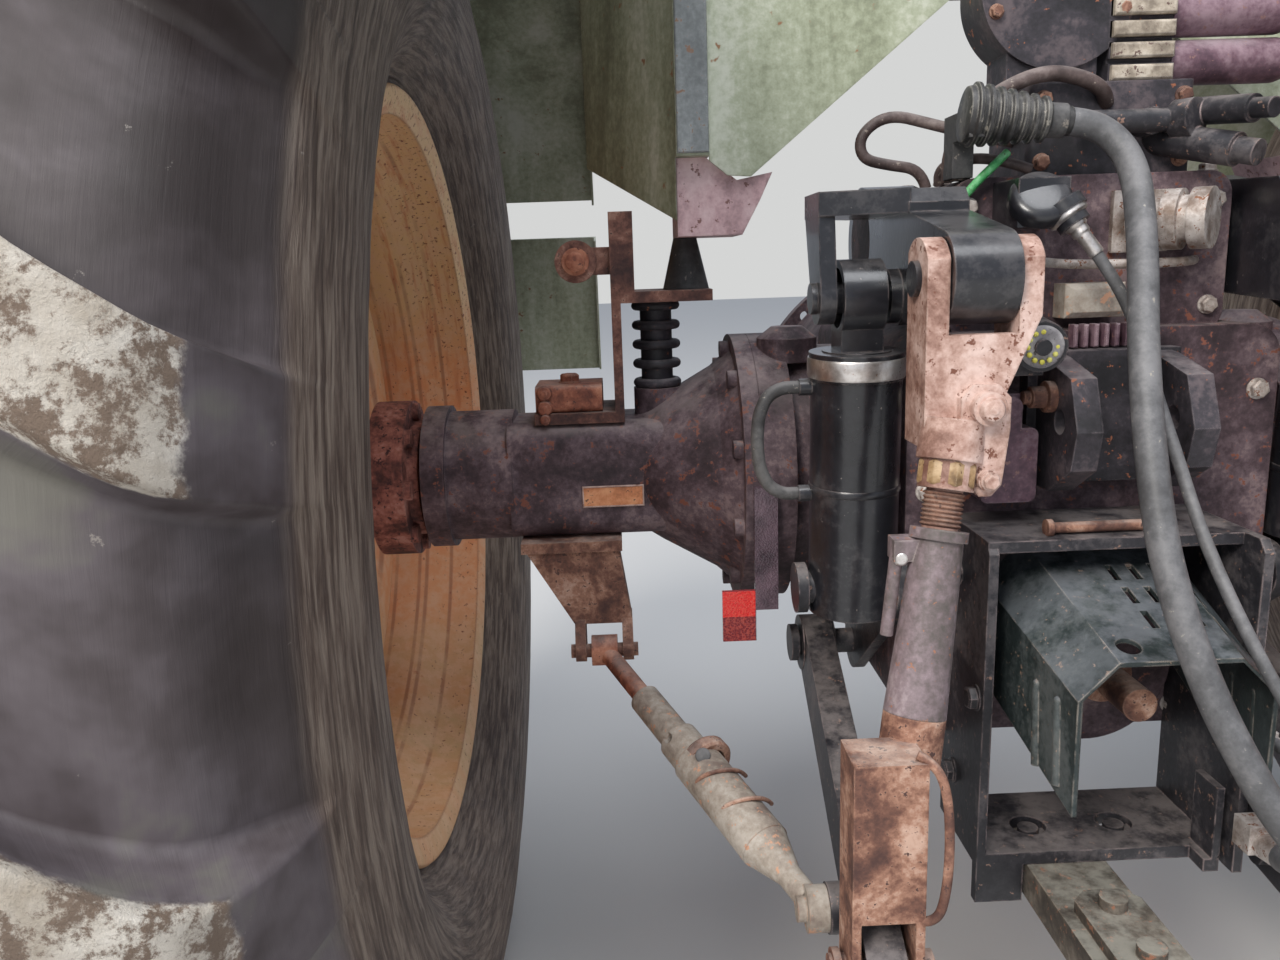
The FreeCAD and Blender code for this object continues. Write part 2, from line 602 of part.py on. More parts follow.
def make_link_bracket():
    plate = lever_x(LINK_PIVOT, 36, CYL_FOOT, 34, -CASE_HALF - SEAT, -CASE_HALF - 14)
    link_pin = pin_x(-CASE_HALF - 14, -LINK_X - 30, LINK_PIVOT, 16)
    head = pin_x(-LINK_X - 24, -LINK_X - 34, LINK_PIVOT, 24)
    cyl_pin = pin_x(-CASE_HALF - 14, -CYL_X - CYL_R - 16, CYL_FOOT, CYL_PIN_R)
    cyl_head = pin_x(-CYL_X - CYL_R - 4, -CYL_X - CYL_R - 16, CYL_FOOT, 28)
    save_both("link_brackets", fuse(plate, link_pin, head, cyl_pin, cyl_head))


# Rockshaft and lift arms
def make_rockshaft():
    half = ARM_X + ARM_WIDE / 2 - SEAT
    save("rockshaft", pin_x(-half, half, SHAFT_AT, ROCKSHAFT_R))


def make_lift_arm():
    x0 = -ARM_X - ARM_WIDE / 2
    x1 = -ARM_X + ARM_WIDE / 2
    arm = lever_x(SHAFT_AT, ARM_HUB_R, ARM_END, ARM_BOSS_R, x0, x1)
    cheek_in = -CYL_X - CYL_EYE_WIDE / 2 - 5
    cheek_out = cheek_in - CHEEK_THICK
    y, z = CYL_EYE
    top = ARM_CROWN
    crown = plate_z([(cheek_out, y - 14), (x0 + 2, y - 40), (x0 + 2, y + 150), (cheek_out, y + 62)],
                    top - 24, top)
    blend = plate_x([(y - 40, top - 14), (y - 26, top), (y + 150, top + 6), (y + 150, top - 40),
                     (y - 40, z + 20)], x0, x1)
    cheek = plate_x([(y - CHEEK_R, z), (y - 12, top - 20), (y + 60, top - 20), (y + CHEEK_R, z)],
                    cheek_out, cheek_in).fuse(pin_x(cheek_out, cheek_in, CYL_EYE, CHEEK_R))
    side_boss = pin_x(x0 + 2, x0 - 12, CYL_EYE, 28)
    web = lever_x(CYL_EYE, 30, (y + 90, z + 50), 40, x0, x0 + 20)
    pin = pin_x(x0 - 26, x1 + 26, ARM_END, ARM_PIN_R)
    eye_pin = pin_x(cheek_out - 6, x0 + 2, CYL_EYE, ARM_PIN_R)
    arm = fuse(arm, crown, blend, cheek, web, side_boss, eye_pin, pin)
    save_pair("lift_arm", arm.cut(pin_x(-120, -260, SHAFT_AT, ROCKSHAFT_R + FIT)))


def make_lift_rod():
    top = V(-ARM_X, ARM_END[0], ARM_END[1])
    foot = link_point(LINK_PIVOT[0] - LINK_ROD_PIN[0])
    d = direction(top, foot)
    at = lambda s: top + d * s
    length = foot.sub(top).Length
    half = FORK_WIDE / 2
    y, z = ARM_END
    c = -ARM_X
    neck = at(150)
    front = plate_y([(c - half, z + 38), (c + half, z + 38), (c + half, z - 34), (neck.x + 26, z - 150),
                     (neck.x - 26, z - 150), (c - half, z - 62)], y - 32, y + 28)
    slot = half - FORK_EAR
    front = front.cut(box(c - slot, c + slot, y - 17, y + 40, z - 96, z + 50))
    front = front.cut(box(c - slot, c + slot, y - 40, y - 16, z - 49, z + 50))
    round_top = fuse(pin_x(c - half - 1, c + half + 1, ARM_END, 36),
                     box(c - half - 1, c + half + 1, y - 34, y + 30, z - 160, z))
    fork = fuse(front.common(round_top), rod(at(130), at(166), 29), rod(at(164), at(192), 25))
    fork = fork.cut(pin_x(c - 80, c + 80, ARM_END, ARM_PIN_R + FIT))
    fork = fork.fuse(rod(at(190), at(330), SCREW_R))
    lock = plate_y([(-209, 118), (-209, 148), (-199, 160), (-176, 160), (-165, 148), (-165, 120), (-171, 70),
                    (-180, 60), (-191, 60), (-198, 70)], y - 44, y - 32)
    bolt = Part.makeCylinder(15, 14, V(-187, y - 56, 140), V(0, 1, 0))
    low_bolt = Part.makeCylinder(10, 28, V(-185, y - 54, 76), V(0, 1, 0))
    save_pair("lift_rod_fork", fuse(fork, lock, bolt, low_bolt))
    upper = at(228)
    lower = at(396)
    barrel = Part.makeCone(TUBE_TOP_R, TUBE_LOW_R, 168, upper, d)
    barrel = fuse(barrel, rod(upper, at(238), TUBE_TOP_R + 4))
    lug = box(upper.x - 44, upper.x - 14, upper.y - 12, upper.y + 10, upper.z - 26, upper.z - 6)
    handle = rod(V(upper.x - 38, upper.y - 2, upper.z - 10), V(upper.x - 48, upper.y - 6, upper.z - 96), 6)
    barrel = fuse(barrel, lug, handle).cut(rod(at(220), at(336), SCREW_R + FIT))
    save_pair("lift_rod_tube", barrel)
    cap = rod(at(396 + SEAT), at(length - 190), TUBE_LOW_R)
    inner = LINK_THICK / 2 + FOOT_GAP
    outer = inner + FOOT_EAR
    pieces = [cap]
    high = foot.z + 212
    for side in (-1, 1):
        x0 = foot.x + side * inner
        x1 = foot.x + side * outer
        pieces.append(box(x0, x1, foot.y - FOOT_DEEP / 2, foot.y + FOOT_DEEP / 2, foot.z - 44, high - 14))
    pieces.append(box(foot.x - outer, foot.x + outer, foot.y - FOOT_DEEP / 2, foot.y - FOOT_DEEP / 2 + 9,
                      foot.z + 62, high))
    pieces.append(box(foot.x - outer, foot.x + outer, foot.y - FOOT_DEEP / 2, foot.y + FOOT_DEEP / 2,
                      foot.z + 150, high))
    pieces.append(Part.makeCylinder(14, 2 * outer + 30, foot - V(outer + 15, 0, 0), V(1, 0, 0)))
    pieces.append(Part.makeCylinder(19, 7, foot - V(outer + 12, 0, 0), V(1, 0, 0)))
    save_pair("lift_rod_foot", fuse(*pieces))


def make_cylinder():
    foot = V(-CYL_X, CYL_FOOT[0], CYL_FOOT[1])
    eye = V(-CYL_X, CYL_EYE[0], CYL_EYE[1])
    d = direction(foot, eye)
    at = lambda s: foot + d * s
    shell = CYL_TOP - GLAND_HIGH + 2
    barrel = rod(at(-26), at(shell), CYL_R).cut(rod(at(CYL_FLOOR), at(shell), CYL_BORE_R))
    flat = CASE_HALF + 14 + 5
    barrel = barrel.cut(box(-flat, -CASE_HALF, foot.y - 80, foot.y + 80, foot.z - 80, foot.z + CYL_FLOOR - 8))
    gland = tube(at(CYL_TOP - GLAND_HIGH), at(CYL_TOP), CYL_R + 2, CYL_ROD_R + 0.5)
    ports = []
    for y, z in (CYL_HOSE[0][1:], CYL_HOSE[-1][1:]):
        ports.append(pin_x(CYL_HOSE[0][0], -CYL_X - CYL_R + 5, (y, z), CYL_HOSE_D / 2 + 2))
    barrel = fuse(barrel, gland, *ports)
    barrel = barrel.cut(pin_x(-CYL_X - 80, -CYL_X + 80, CYL_FOOT, CYL_PIN_R + FIT))
    save_pair("cylinder_barrel", barrel)
    length = eye.sub(foot).Length
    piston = rod(at(66), at(84), CYL_BORE_R - 0.5)
    shaft = rod(at(70), at(length - CYL_RAM_DROP), CYL_ROD_R)
    half = CYL_EYE_WIDE / 2
    neck = box(-CYL_X - half, -CYL_X + half, -24, 24, -CYL_RAM_DROP - 2, 0)
    neck.rotate(V(-CYL_X, 0, 0), V(1, 0, 0), math.degrees(math.atan2(-d.y, d.z)))
    neck.translate(V(0, CYL_EYE[0], CYL_EYE[1]))
    ring = pin_x(-CYL_X - half, -CYL_X + half, CYL_EYE, CYL_EYE_R)
    rod_body = fuse(piston, shaft, neck, ring).cut(pin_x(-CYL_X - 60, -CYL_X + 60, CYL_EYE, CYL_EYE_BORE_R))
    save_pair("cylinder_rod", rod_body)


# Hitch frame with drawbar, power take-off and its guard
def make_hitch_frame():
    y0 = CASE_REAR - SEAT
    low = FRAME_LOW
    pieces = []
    for x0, x1, rear in ((-FRAME_LEFT, FRAME_PLATE - FRAME_LEFT, FRAME_REAR),
                         (FRAME_RIGHT - FRAME_PLATE, FRAME_RIGHT, FRAME_REAR_RIGHT)):
        outline = [(y0, FRAME_TOP), (rear + 10, FRAME_TOP), (rear, FRAME_TOP - 12), (rear + 4, low + 30),
                   (rear + 4, low - 14), (y0, low - 14)]
        pieces.append(plate_x(outline, x0, x1))
    pieces.append(box(-FRAME_LEFT, FRAME_RIGHT, FRAME_REAR + 4, y0, FRAME_TOP - 12, FRAME_TOP))
    floor = box(-FRAME_LEFT, FRAME_RIGHT, FRAME_REAR + 4, y0, low - 14, low)
    for x in (-77, 18):
        floor = floor.cut(Part.makeCylinder(19, 40, V(x, FRAME_REAR + 56, low - 30), V(0, 0, 1)))
        floor = floor.fuse(Part.makeCylinder(11, 12, V(x, FRAME_REAR + 56, low - 14), V(0, 0, 1)))
        floor = floor.fuse(box(x - 20, x + 20, FRAME_REAR + 50, FRAME_REAR + 62, low - 14, low - 8))
    pieces.append(floor)
    pieces.append(box(-FRAME_LEFT, DRAWBAR_X - DRAWBAR_HALF - 4, FRAME_REAR + 4, FRAME_REAR + 16, low - 56, low - 13))
    strip = plate_y([(82, -266), (90, -266), (90, low + 6), (82, low - 14), (82, low - 14)][:4], FRAME_REAR - 22, FRAME_REAR + 18)
    pieces.append(strip)
    pieces.append(box(74, 90, FRAME_REAR - 22, FRAME_REAR + 18, low - 14, low))
    bar = plate_x([(y0, -228), (-380, -242), (-575, -275), (-575, -356), (-380, -328), (y0, -312)],
                  SIDE_BAR_X, SIDE_BAR_X + SIDE_BAR_THICK)
    pieces.append(bar)
    pieces.append(box(FRAME_RIGHT - 1, SIDE_BAR_X + 1, y0 - 60, y0 - 10, -300, -245))
    pieces.append(pin_x(FRAME_RIGHT - 1, SIDE_BAR_X + 1, (-420, -290), 14))
    pieces.append(pin_x(SIDE_BAR_X - 11, SIDE_BAR_X + SIDE_BAR_THICK + 12, (-470, -316), 13))
    save("hitch_frame", fuse(*pieces))


def make_drawbar():
    top = FRAME_LOW - 14 - SEAT
    half = DRAWBAR_HALF
    c = DRAWBAR_X
    bar = plate_z([(c - half, CASE_REAR), (c + half, CASE_REAR), (c + half, DRAWBAR_REAR + 30), (c + half - 22, DRAWBAR_REAR),
                   (c + 22 - half, DRAWBAR_REAR), (c - half, DRAWBAR_REAR + 30)], top - DRAWBAR_THICK, top)
    strap = plate_z([(c - 12, FRAME_REAR - 60), (c + 24, FRAME_REAR - 60), (c + half - 4, FRAME_REAR - 76),
                     (c + half - 4, DRAWBAR_REAR + 140), (c - 28, DRAWBAR_REAR + 140), (c - 28, FRAME_REAR - 76)],
                    top - 1, top + 12)
    bar = bar.cut(Part.makeCylinder(DRAWBAR_HOLE_R, 80, V(c, DRAWBAR_REAR + 55, top - 60), V(0, 0, 1)))
    bar = bar.fuse(strap)
    for y in (FRAME_REAR - 88, FRAME_REAR - 160, DRAWBAR_REAR + 190):
        bar = bar.fuse(Part.makeCylinder(13, 12, V(c + 4, y, top + 11), V(0, 0, 1)))
    save("drawbar", bar.removeSplitter())


def guard_wire(y, top, low, half, shoulder, inset):
    """Section of the guard at y: a hood open below, drawn in by inset."""
    w = half - inset
    floor = low - (20 if inset else 0)
    c = GUARD_X
    points = [V(c - w, y, floor), V(c - w, y, top - shoulder), V(c - half + shoulder, y, top - inset),
              V(c + half - shoulder, y, top - inset), V(c + w, y, top - shoulder), V(c + w, y, floor)]
    return Part.makePolygon(points + [points[0]])


def make_pto():
    front = CASE_REAR - 30 - SEAT
    ends = ((front, 0, -30, -178, GUARD_FRONT_HALF, 42), (GUARD_REAR, 0, -90, -240, GUARD_REAR_HALF, 36))
    outer = Part.makeLoft([guard_wire(y, top, low, half, s, 0) for y, _, top, low, half, s in ends], True, True)
    over = 2.0
    inner = Part.makeLoft([guard_wire(y + (over if y == front else -over), top, low, half, s, GUARD_SHEET)
                           for y, _, top, low, half, s in ends], True, True)
    guard = outer.cut(inner)
    extras = []
    slope = (GUARD_FRONT_HALF - GUARD_REAR_HALF) / (front - GUARD_REAR)
    for side, wall in ((-1, FRAME_PLATE - FRAME_LEFT), (1, FRAME_RIGHT - FRAME_PLATE)):
        face = GUARD_X + side * (GUARD_FRONT_HALF - 3)
        extras.append(box(face, wall - side * SEAT, front - 34, front - 8, -132, -108))
        for y in (GUARD_REAR + 34, GUARD_REAR + 74):
            x = GUARD_X + side * (GUARD_REAR_HALF + slope * (y - GUARD_REAR) - 1)
            extras.append(rod(V(x, y, -140), V(x, y - 6, -222), 5))
            extras.append(Part.makeSphere(5, V(x, y, -140)))
    for side in (-1, 1):
        slot = rod(V(GUARD_X + side * 60, -392, -20), V(GUARD_X + side * 130, -392, -90), 10)
        far = rod(V(GUARD_X + side * 60, -360, -12), V(GUARD_X + side * 130, -360, -82), 10)
        if side < 0:
            guard = guard.cut(slot).cut(far)
    guard = guard.cut(Part.makeCylinder(11, 60, V(-52, -498, -120), V(0, 0, 1)))
    for i in range(4):
        for j in range(3):
            x = -14 + i * 22
            y = -372 - j * 38
            guard = guard.cut(box(x - 3.5, x + 3.5, y - 26, y, -100, -20))
    save("pto_guard", fuse(guard, *extras))
    y = CASE_REAR - 30
    stub = Part.makeCylinder(PTO_R, -PTO_END + y + 0.0, V(0, PTO_END, PTO_Z), V(0, 1, 0))
    collar = Part.makeCylinder(30, -PTO_END - PTO_LENGTH + CASE_REAR + 20,
                               V(0, PTO_END + PTO_LENGTH, PTO_Z), V(0, 1, 0))
    save("pto_shaft", fuse(stub, collar))


def make_top_link_bracket():
    y0 = CASE_REAR - SEAT
    base = box(-80, 80, y0 - 22, y0, 30, 170)
    pieces = [base]
    for side in (-1, 1):
        cheek = plate_x([(y0, 30), (y0 - 60, 30), (y0 - 110, 60), (y0 - 120, 100), (y0 - 100, 150),
                         (y0 - 40, 165), (y0, 170)], side * 44, side * 70)
        pieces.append(cheek)
    bracket = fuse(*pieces)
    bracket = bracket.cut(pin_x(-90, 90, (y0 - 80, 105), 12.7))
    save("top_link_bracket", bracket)


# Valves and controls on the lift housing
def make_controls():
    top = SHAFT_AT[1] + LIFT_ROOF + SEAT
    block = box(-60, 118, -236, -110, top, top + 96)
    block = round_edges(block, 10, V(0, 0, 1))
    casting = Part.makeCylinder(86, 70, V(-16, -196, 552), V(0, 1, 0))
    casting = casting.cut(box(-120, 90, -200, -120, 560, 660))
    neck = box(-70, 30, -190, -130, top + 96 + SEAT, 500)
    cover = fuse(casting, neck)
    fins = box(40, 112, -196, -140, top + 96 + SEAT, 552)
    for z in (470, 492, 514, 536):
        fins = fins.cut(box(38, 114, -200, -190, z, z + 5))
    save("valve_block", Part.makeCompound([block, cover, fins]))
    spools = []
    for z in (473, 524):
        spool = pin_x(112 + SEAT, 236, (-168, z), 24)
        spools.append(fuse(spool, Part.makeSphere(24, V(236, -168, z))))
    save("spool_tubes", Part.makeCompound(spools))
    heads = []
    for base, tip, r, r2 in (((72, -220, 390), (124, -308, 366), 17, 13),
                             ((96, -220, 414), (132, -318, 404), 14, 10)):
        a = V(*base)
        b = V(*tip)
        d = direction(a, b)
        heads.append(fuse(rod(a, b, r), rod(b - d, b + d * 22, r2)))
    behind = box(-100, 400, -500, -236 - SEAT, 200, 500)
    heads = [head.common(behind) for head in heads]
    cap_at = V(88, -262, 402)
    face = V(0.5, -0.87, 0)
    cap = rod(cap_at - face * 4, cap_at + face * 18, 20)
    arm = pin_x(-18, 92, (-262, 402), 12)
    stem = rod(V(60, -262, 402), V(60, -236 - SEAT, 402), 14)
    save("couplers", Part.makeCompound(heads + [fuse(cap, arm, stem)]))
    ring_a = V(44, LIFT_REAR - SEAT, 300)
    turn = V(0.72, -0.69, 0)
    spool = rod(ring_a, ring_a + turn * 76, 24)
    spool = spool.fuse(rod(ring_a + turn * 34, ring_a + turn * 50, 31))
    spool = spool.fuse(rod(ring_a + turn * 60, ring_a + turn * 78, 31))
    base = box(20, 80, LIFT_REAR - 8, LIFT_REAR - SEAT, 268, 332)
    save("pressure_port", fuse(spool, base).common(box(-50, 200, -400, LIFT_REAR - SEAT, 200, 400)))
    control = box(-138, -80 - SEAT, -346, CASE_REAR - SEAT, 18, 96)
    control = round_edges(control, 8, V(0, 1, 0))
    control = control.fuse(Part.makeCylinder(12, 40, V(-112, -352, 118), V(0, 1, 0)).fuse(box(-126, -98, -346, CASE_REAR - SEAT, 90, 132)))
    save("valve_box", control)
    tip = V(*THIN_HOSE[0])
    back = direction(V(*THIN_HOSE[1]), tip)
    sensor = rod(tip, tip + back * 16, 16)
    sensor = fuse(sensor, rod(tip + back * 14, tip + back * 26, 22), box(-106, -54, -332, LIFT_REAR - SEAT, 296, 344))
    save("lift_sensor", sensor)
    knob = box(-122, -80 - SEAT, -350, CASE_REAR - SEAT, 150, 190)
    knob = fuse(knob, Part.makeCylinder(25, 40, V(-98, -386, 182), V(0.12, 1, 0.1)),
                Part.makeCylinder(8, 8, V(-98, -391, 181.4), V(0.12, 1, 0.1)))
    save("depth_knob", knob)


def make_reflectors():
    rear = -DRUM_FLANGE_R - SEAT
    bar = box(-352, -324, rear - 10, rear, -144, 8)
    plate = box(-392, -351, rear - 8, rear - 2, -184, -120)
    save_both("reflectors", fuse(bar, plate, box(-360, -340, rear - 8, rear - 2, -144, -120)))


# Hoses
CYL_HOSE_D = 14.0
CYL_HOSE = [(-318, -294, 140), (-336, -294, 140), (-352, -296, 132), (-361, -297, 112), (-363, -296, 84),
            (-360, -292, 54), (-350, -290, 33), (-335, -290, 24), (-318, -290, 24)]
LONG_HOSE_D = 28.0
LONG_HOSE = [(-50, -298, 400), (-30, -299, 398), (-9, -304, 388), (5, -316, 369), (9, -335, 341),
             (3, -360, 305), (-7, -392, 252), (-20, -424, 196), (-29, -456, 134), (-34, -486, 70),
             (-34, -514, 6), (-23, -540, -58), (-6, -562, -116), (16, -580, -166), (41, -588, -210),
             (68, -590, -243), (86, -578, -268), (93, -552, -283), (94, -525, -288)]
THIN_HOSE_D = 12.0
THIN_HOSE = [(-50, -338, 296), (-40, -345, 280), (-26, -353, 257), (-9, -362, 226), (6, -374, 182),
             (16, -392, 128), (25, -420, 72), (30, -456, 14), (37, -494, -36), (49, -528, -84),
             (66, -544, -122), (81, -550, -149), (93, -547, -174), (101, -530, -190), (105, -506, -196),
             (106, -480, -196)]


def as_vectors(points):
    return [V(*p) for p in points]


def make_hoses():
    left = hose("cylinder hose", as_vectors(CYL_HOSE), CYL_HOSE_D)
    save_pair("cylinder_hose", left)
    save("hose_thick", hose("thick hose", as_vectors(LONG_HOSE), LONG_HOSE_D))
    save("hose_thin", hose("thin hose", as_vectors(THIN_HOSE), THIN_HOSE_D))
    start = V(*LONG_HOSE[0])
    back = direction(V(*LONG_HOSE[1]), start)
    boot = rod(start, start + back * 26, 17)
    boot = boot.fuse(Part.makeCone(18, 26, 70, start + back * 24, back))
    port = box(-150, -128, -312, LIFT_REAR + 30, 386, 414)
    roof = SHAFT_AT[1] + LIFT_ROOF + SEAT
    foot = box(-150, -128, LIFT_REAR, LIFT_REAR + 30, roof, 390)
    save("hose_boot", fuse(boot, port, foot))
    fittings = []
    for route, size, r, reach, wall in ((LONG_HOSE, 30, 13, 54, SIDE_BAR_X), (THIN_HOSE, 18, 7, 30, FRAME_RIGHT)):
        tip = V(*route[-1])
        along = direction(V(*route[-2]), tip)
        nose = rod(tip, tip + along * (reach - 14), r)
        back = min(tip.y + reach, FRAME_REAR_RIGHT - SEAT) if wall == FRAME_RIGHT else tip.y + reach
        block = box(tip.x - size / 2, wall - SEAT, back - 26, back, tip.z - size / 2, tip.z + size / 2)
        fittings.append(nose.common(box(-500, 500, -900, back, -500, 500)).fuse(block))
    save("hose_fittings", Part.makeCompound(fittings))


def lug_solid(profile, half, rise, c, side):
    """One lug: its profile in the XZ plane swept across the tread, leaning back towards the middle."""
    outer = max(p.x for p in profile)
    inner = min(p.x for p in profile)
    faces = []
    for edge in (-half, half):
        corners = []
        for p in profile:
            lean = rise * (outer - p.x) / (outer - inner)
            x = p.x if side > 0 else -2 * c - p.x
            corners.append(V(x, edge + lean, p.z))
        faces.append(corners)
    sides = [polygon(faces[0]), polygon(faces[1])]
    n = len(profile)
    for i in range(n):
        j = (i + 1) % n
        sides.append(polygon([faces[0][i], faces[0][j], faces[1][j], faces[1][i]]))
    solid = Part.Solid(Part.Shell(sides))
    if solid.Volume < 0:
        solid.reverse()
    return solid


def main():
    os.makedirs("parts", exist_ok=True)
    make_case()
    make_axle_housing()
    make_hub()
    make_rim()
    make_tyre()
    make_fender()
    make_rear_panel()
    make_cab_mount()
    make_stabiliser_bracket()
    make_stabiliser()
    make_lower_link()
    make_link_bracket()
    make_rockshaft()
    make_lift_arm()
    make_lift_rod()
    make_cylinder()
    make_hitch_frame()
    make_drawbar()
    make_pto()
    make_top_link_bracket()
    make_controls()
    make_reflectors()
    make_hoses()


main()
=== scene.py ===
import math

import bpy
import bmesh
from mathutils import Matrix, Vector, noise


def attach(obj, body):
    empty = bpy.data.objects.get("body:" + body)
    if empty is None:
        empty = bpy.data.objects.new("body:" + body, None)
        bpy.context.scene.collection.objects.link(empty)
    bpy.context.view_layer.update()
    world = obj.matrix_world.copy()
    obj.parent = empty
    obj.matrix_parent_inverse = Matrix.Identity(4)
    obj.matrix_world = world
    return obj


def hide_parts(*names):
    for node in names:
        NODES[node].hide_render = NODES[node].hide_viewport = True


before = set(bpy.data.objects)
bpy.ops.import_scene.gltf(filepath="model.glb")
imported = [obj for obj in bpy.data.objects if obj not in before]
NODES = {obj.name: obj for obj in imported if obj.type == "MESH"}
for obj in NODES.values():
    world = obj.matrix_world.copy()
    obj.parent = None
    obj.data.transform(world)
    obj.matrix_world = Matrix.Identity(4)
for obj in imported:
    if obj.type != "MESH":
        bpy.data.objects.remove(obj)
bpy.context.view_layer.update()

# Axle centre in the row frame, metres
AXLE_Y = -0.480
HALF_TRACK = 1.020


def axle(x, y, z):
    """Point given in millimetres about the axle's centre."""
    return Vector((x / 1000, y / 1000 + AXLE_Y, z / 1000))


# Camera at the photograph's viewpoint
def make_camera():
    spot = axle(-508, -1361, 273)
    pitch, yaw, roll = (math.radians(a) for a in (12.0, 1.0, -2.0))
    focal_px = 1013.0
    ahead = Vector((math.sin(yaw) * math.cos(pitch), math.cos(yaw) * math.cos(pitch), -math.sin(pitch)))
    level = Vector((math.cos(yaw), -math.sin(yaw), 0))
    over = level.cross(ahead)
    right = math.cos(roll) * level + math.sin(roll) * over
    up = -math.sin(roll) * level + math.cos(roll) * over
    data = bpy.data.cameras.new("camera")
    data.sensor_width = 36
    data.lens = 36 * focal_px / 1280
    data.clip_start = 0.02
    cam = bpy.data.objects.new("camera", data)
    bpy.context.scene.collection.objects.link(cam)
    cam.matrix_world = Matrix((
        (right.x, up.x, -ahead.x, spot.x),
        (right.y, up.y, -ahead.y, spot.y),
        (right.z, up.z, -ahead.z, spot.z),
        (0, 0, 0, 1)))
    bpy.context.scene.camera = cam


make_camera()


# Hoses held at both ends, with the CAD's route points
THICK_ROUTE = [(-50, -298, 400), (-30, -299, 398), (-9, -304, 388), (5, -316, 369), (9, -335, 341),
               (3, -360, 305), (-7, -392, 252), (-20, -424, 196), (-29, -456, 134), (-34, -486, 70),
               (-34, -514, 6), (-23, -540, -58), (-6, -562, -116), (16, -580, -166), (41, -588, -210),
               (68, -590, -243), (86, -578, -268), (93, -552, -283), (94, -525, -288)]
THIN_ROUTE = [(-50, -338, 296), (-40, -345, 280), (-26, -353, 257), (-9, -362, 226), (6, -374, 182),
              (16, -392, 128), (25, -420, 72), (30, -456, 14), (37, -494, -36), (49, -528, -84),
              (66, -544, -122), (81, -550, -149), (93, -547, -174), (101, -530, -190), (105, -506, -196),
              (106, -480, -196)]


POINT_RADIUS = 0.01     # small, because a cord's box is widened by its points' radius in metres


def hose(name, route, diameter, node):
    data = bpy.data.curves.new(name, "CURVE")
    data.dimensions = "3D"
    spline = data.splines.new("NURBS")
    spline.points.add(len(route) - 1)
    for p, at in zip(spline.points, route):
        p.co = (*axle(*at), 1)
        p.radius = POINT_RADIUS
    spline.order_u = 3
    spline.use_endpoint_u = True
    spline.resolution_u = 6
    data.bevel_depth = diameter / 2 / POINT_RADIUS
    data.bevel_resolution = 6
    data.use_fill_caps = True
    obj = bpy.data.objects.new(name, data)
    bpy.context.scene.collection.objects.link(obj)
    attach(obj, "root")
    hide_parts(node)
    return obj


THICK = hose("thick_hose", THICK_ROUTE, 0.028, "hose_thick")
THIN = hose("thin_hose", THIN_ROUTE, 0.012, "hose_thin")


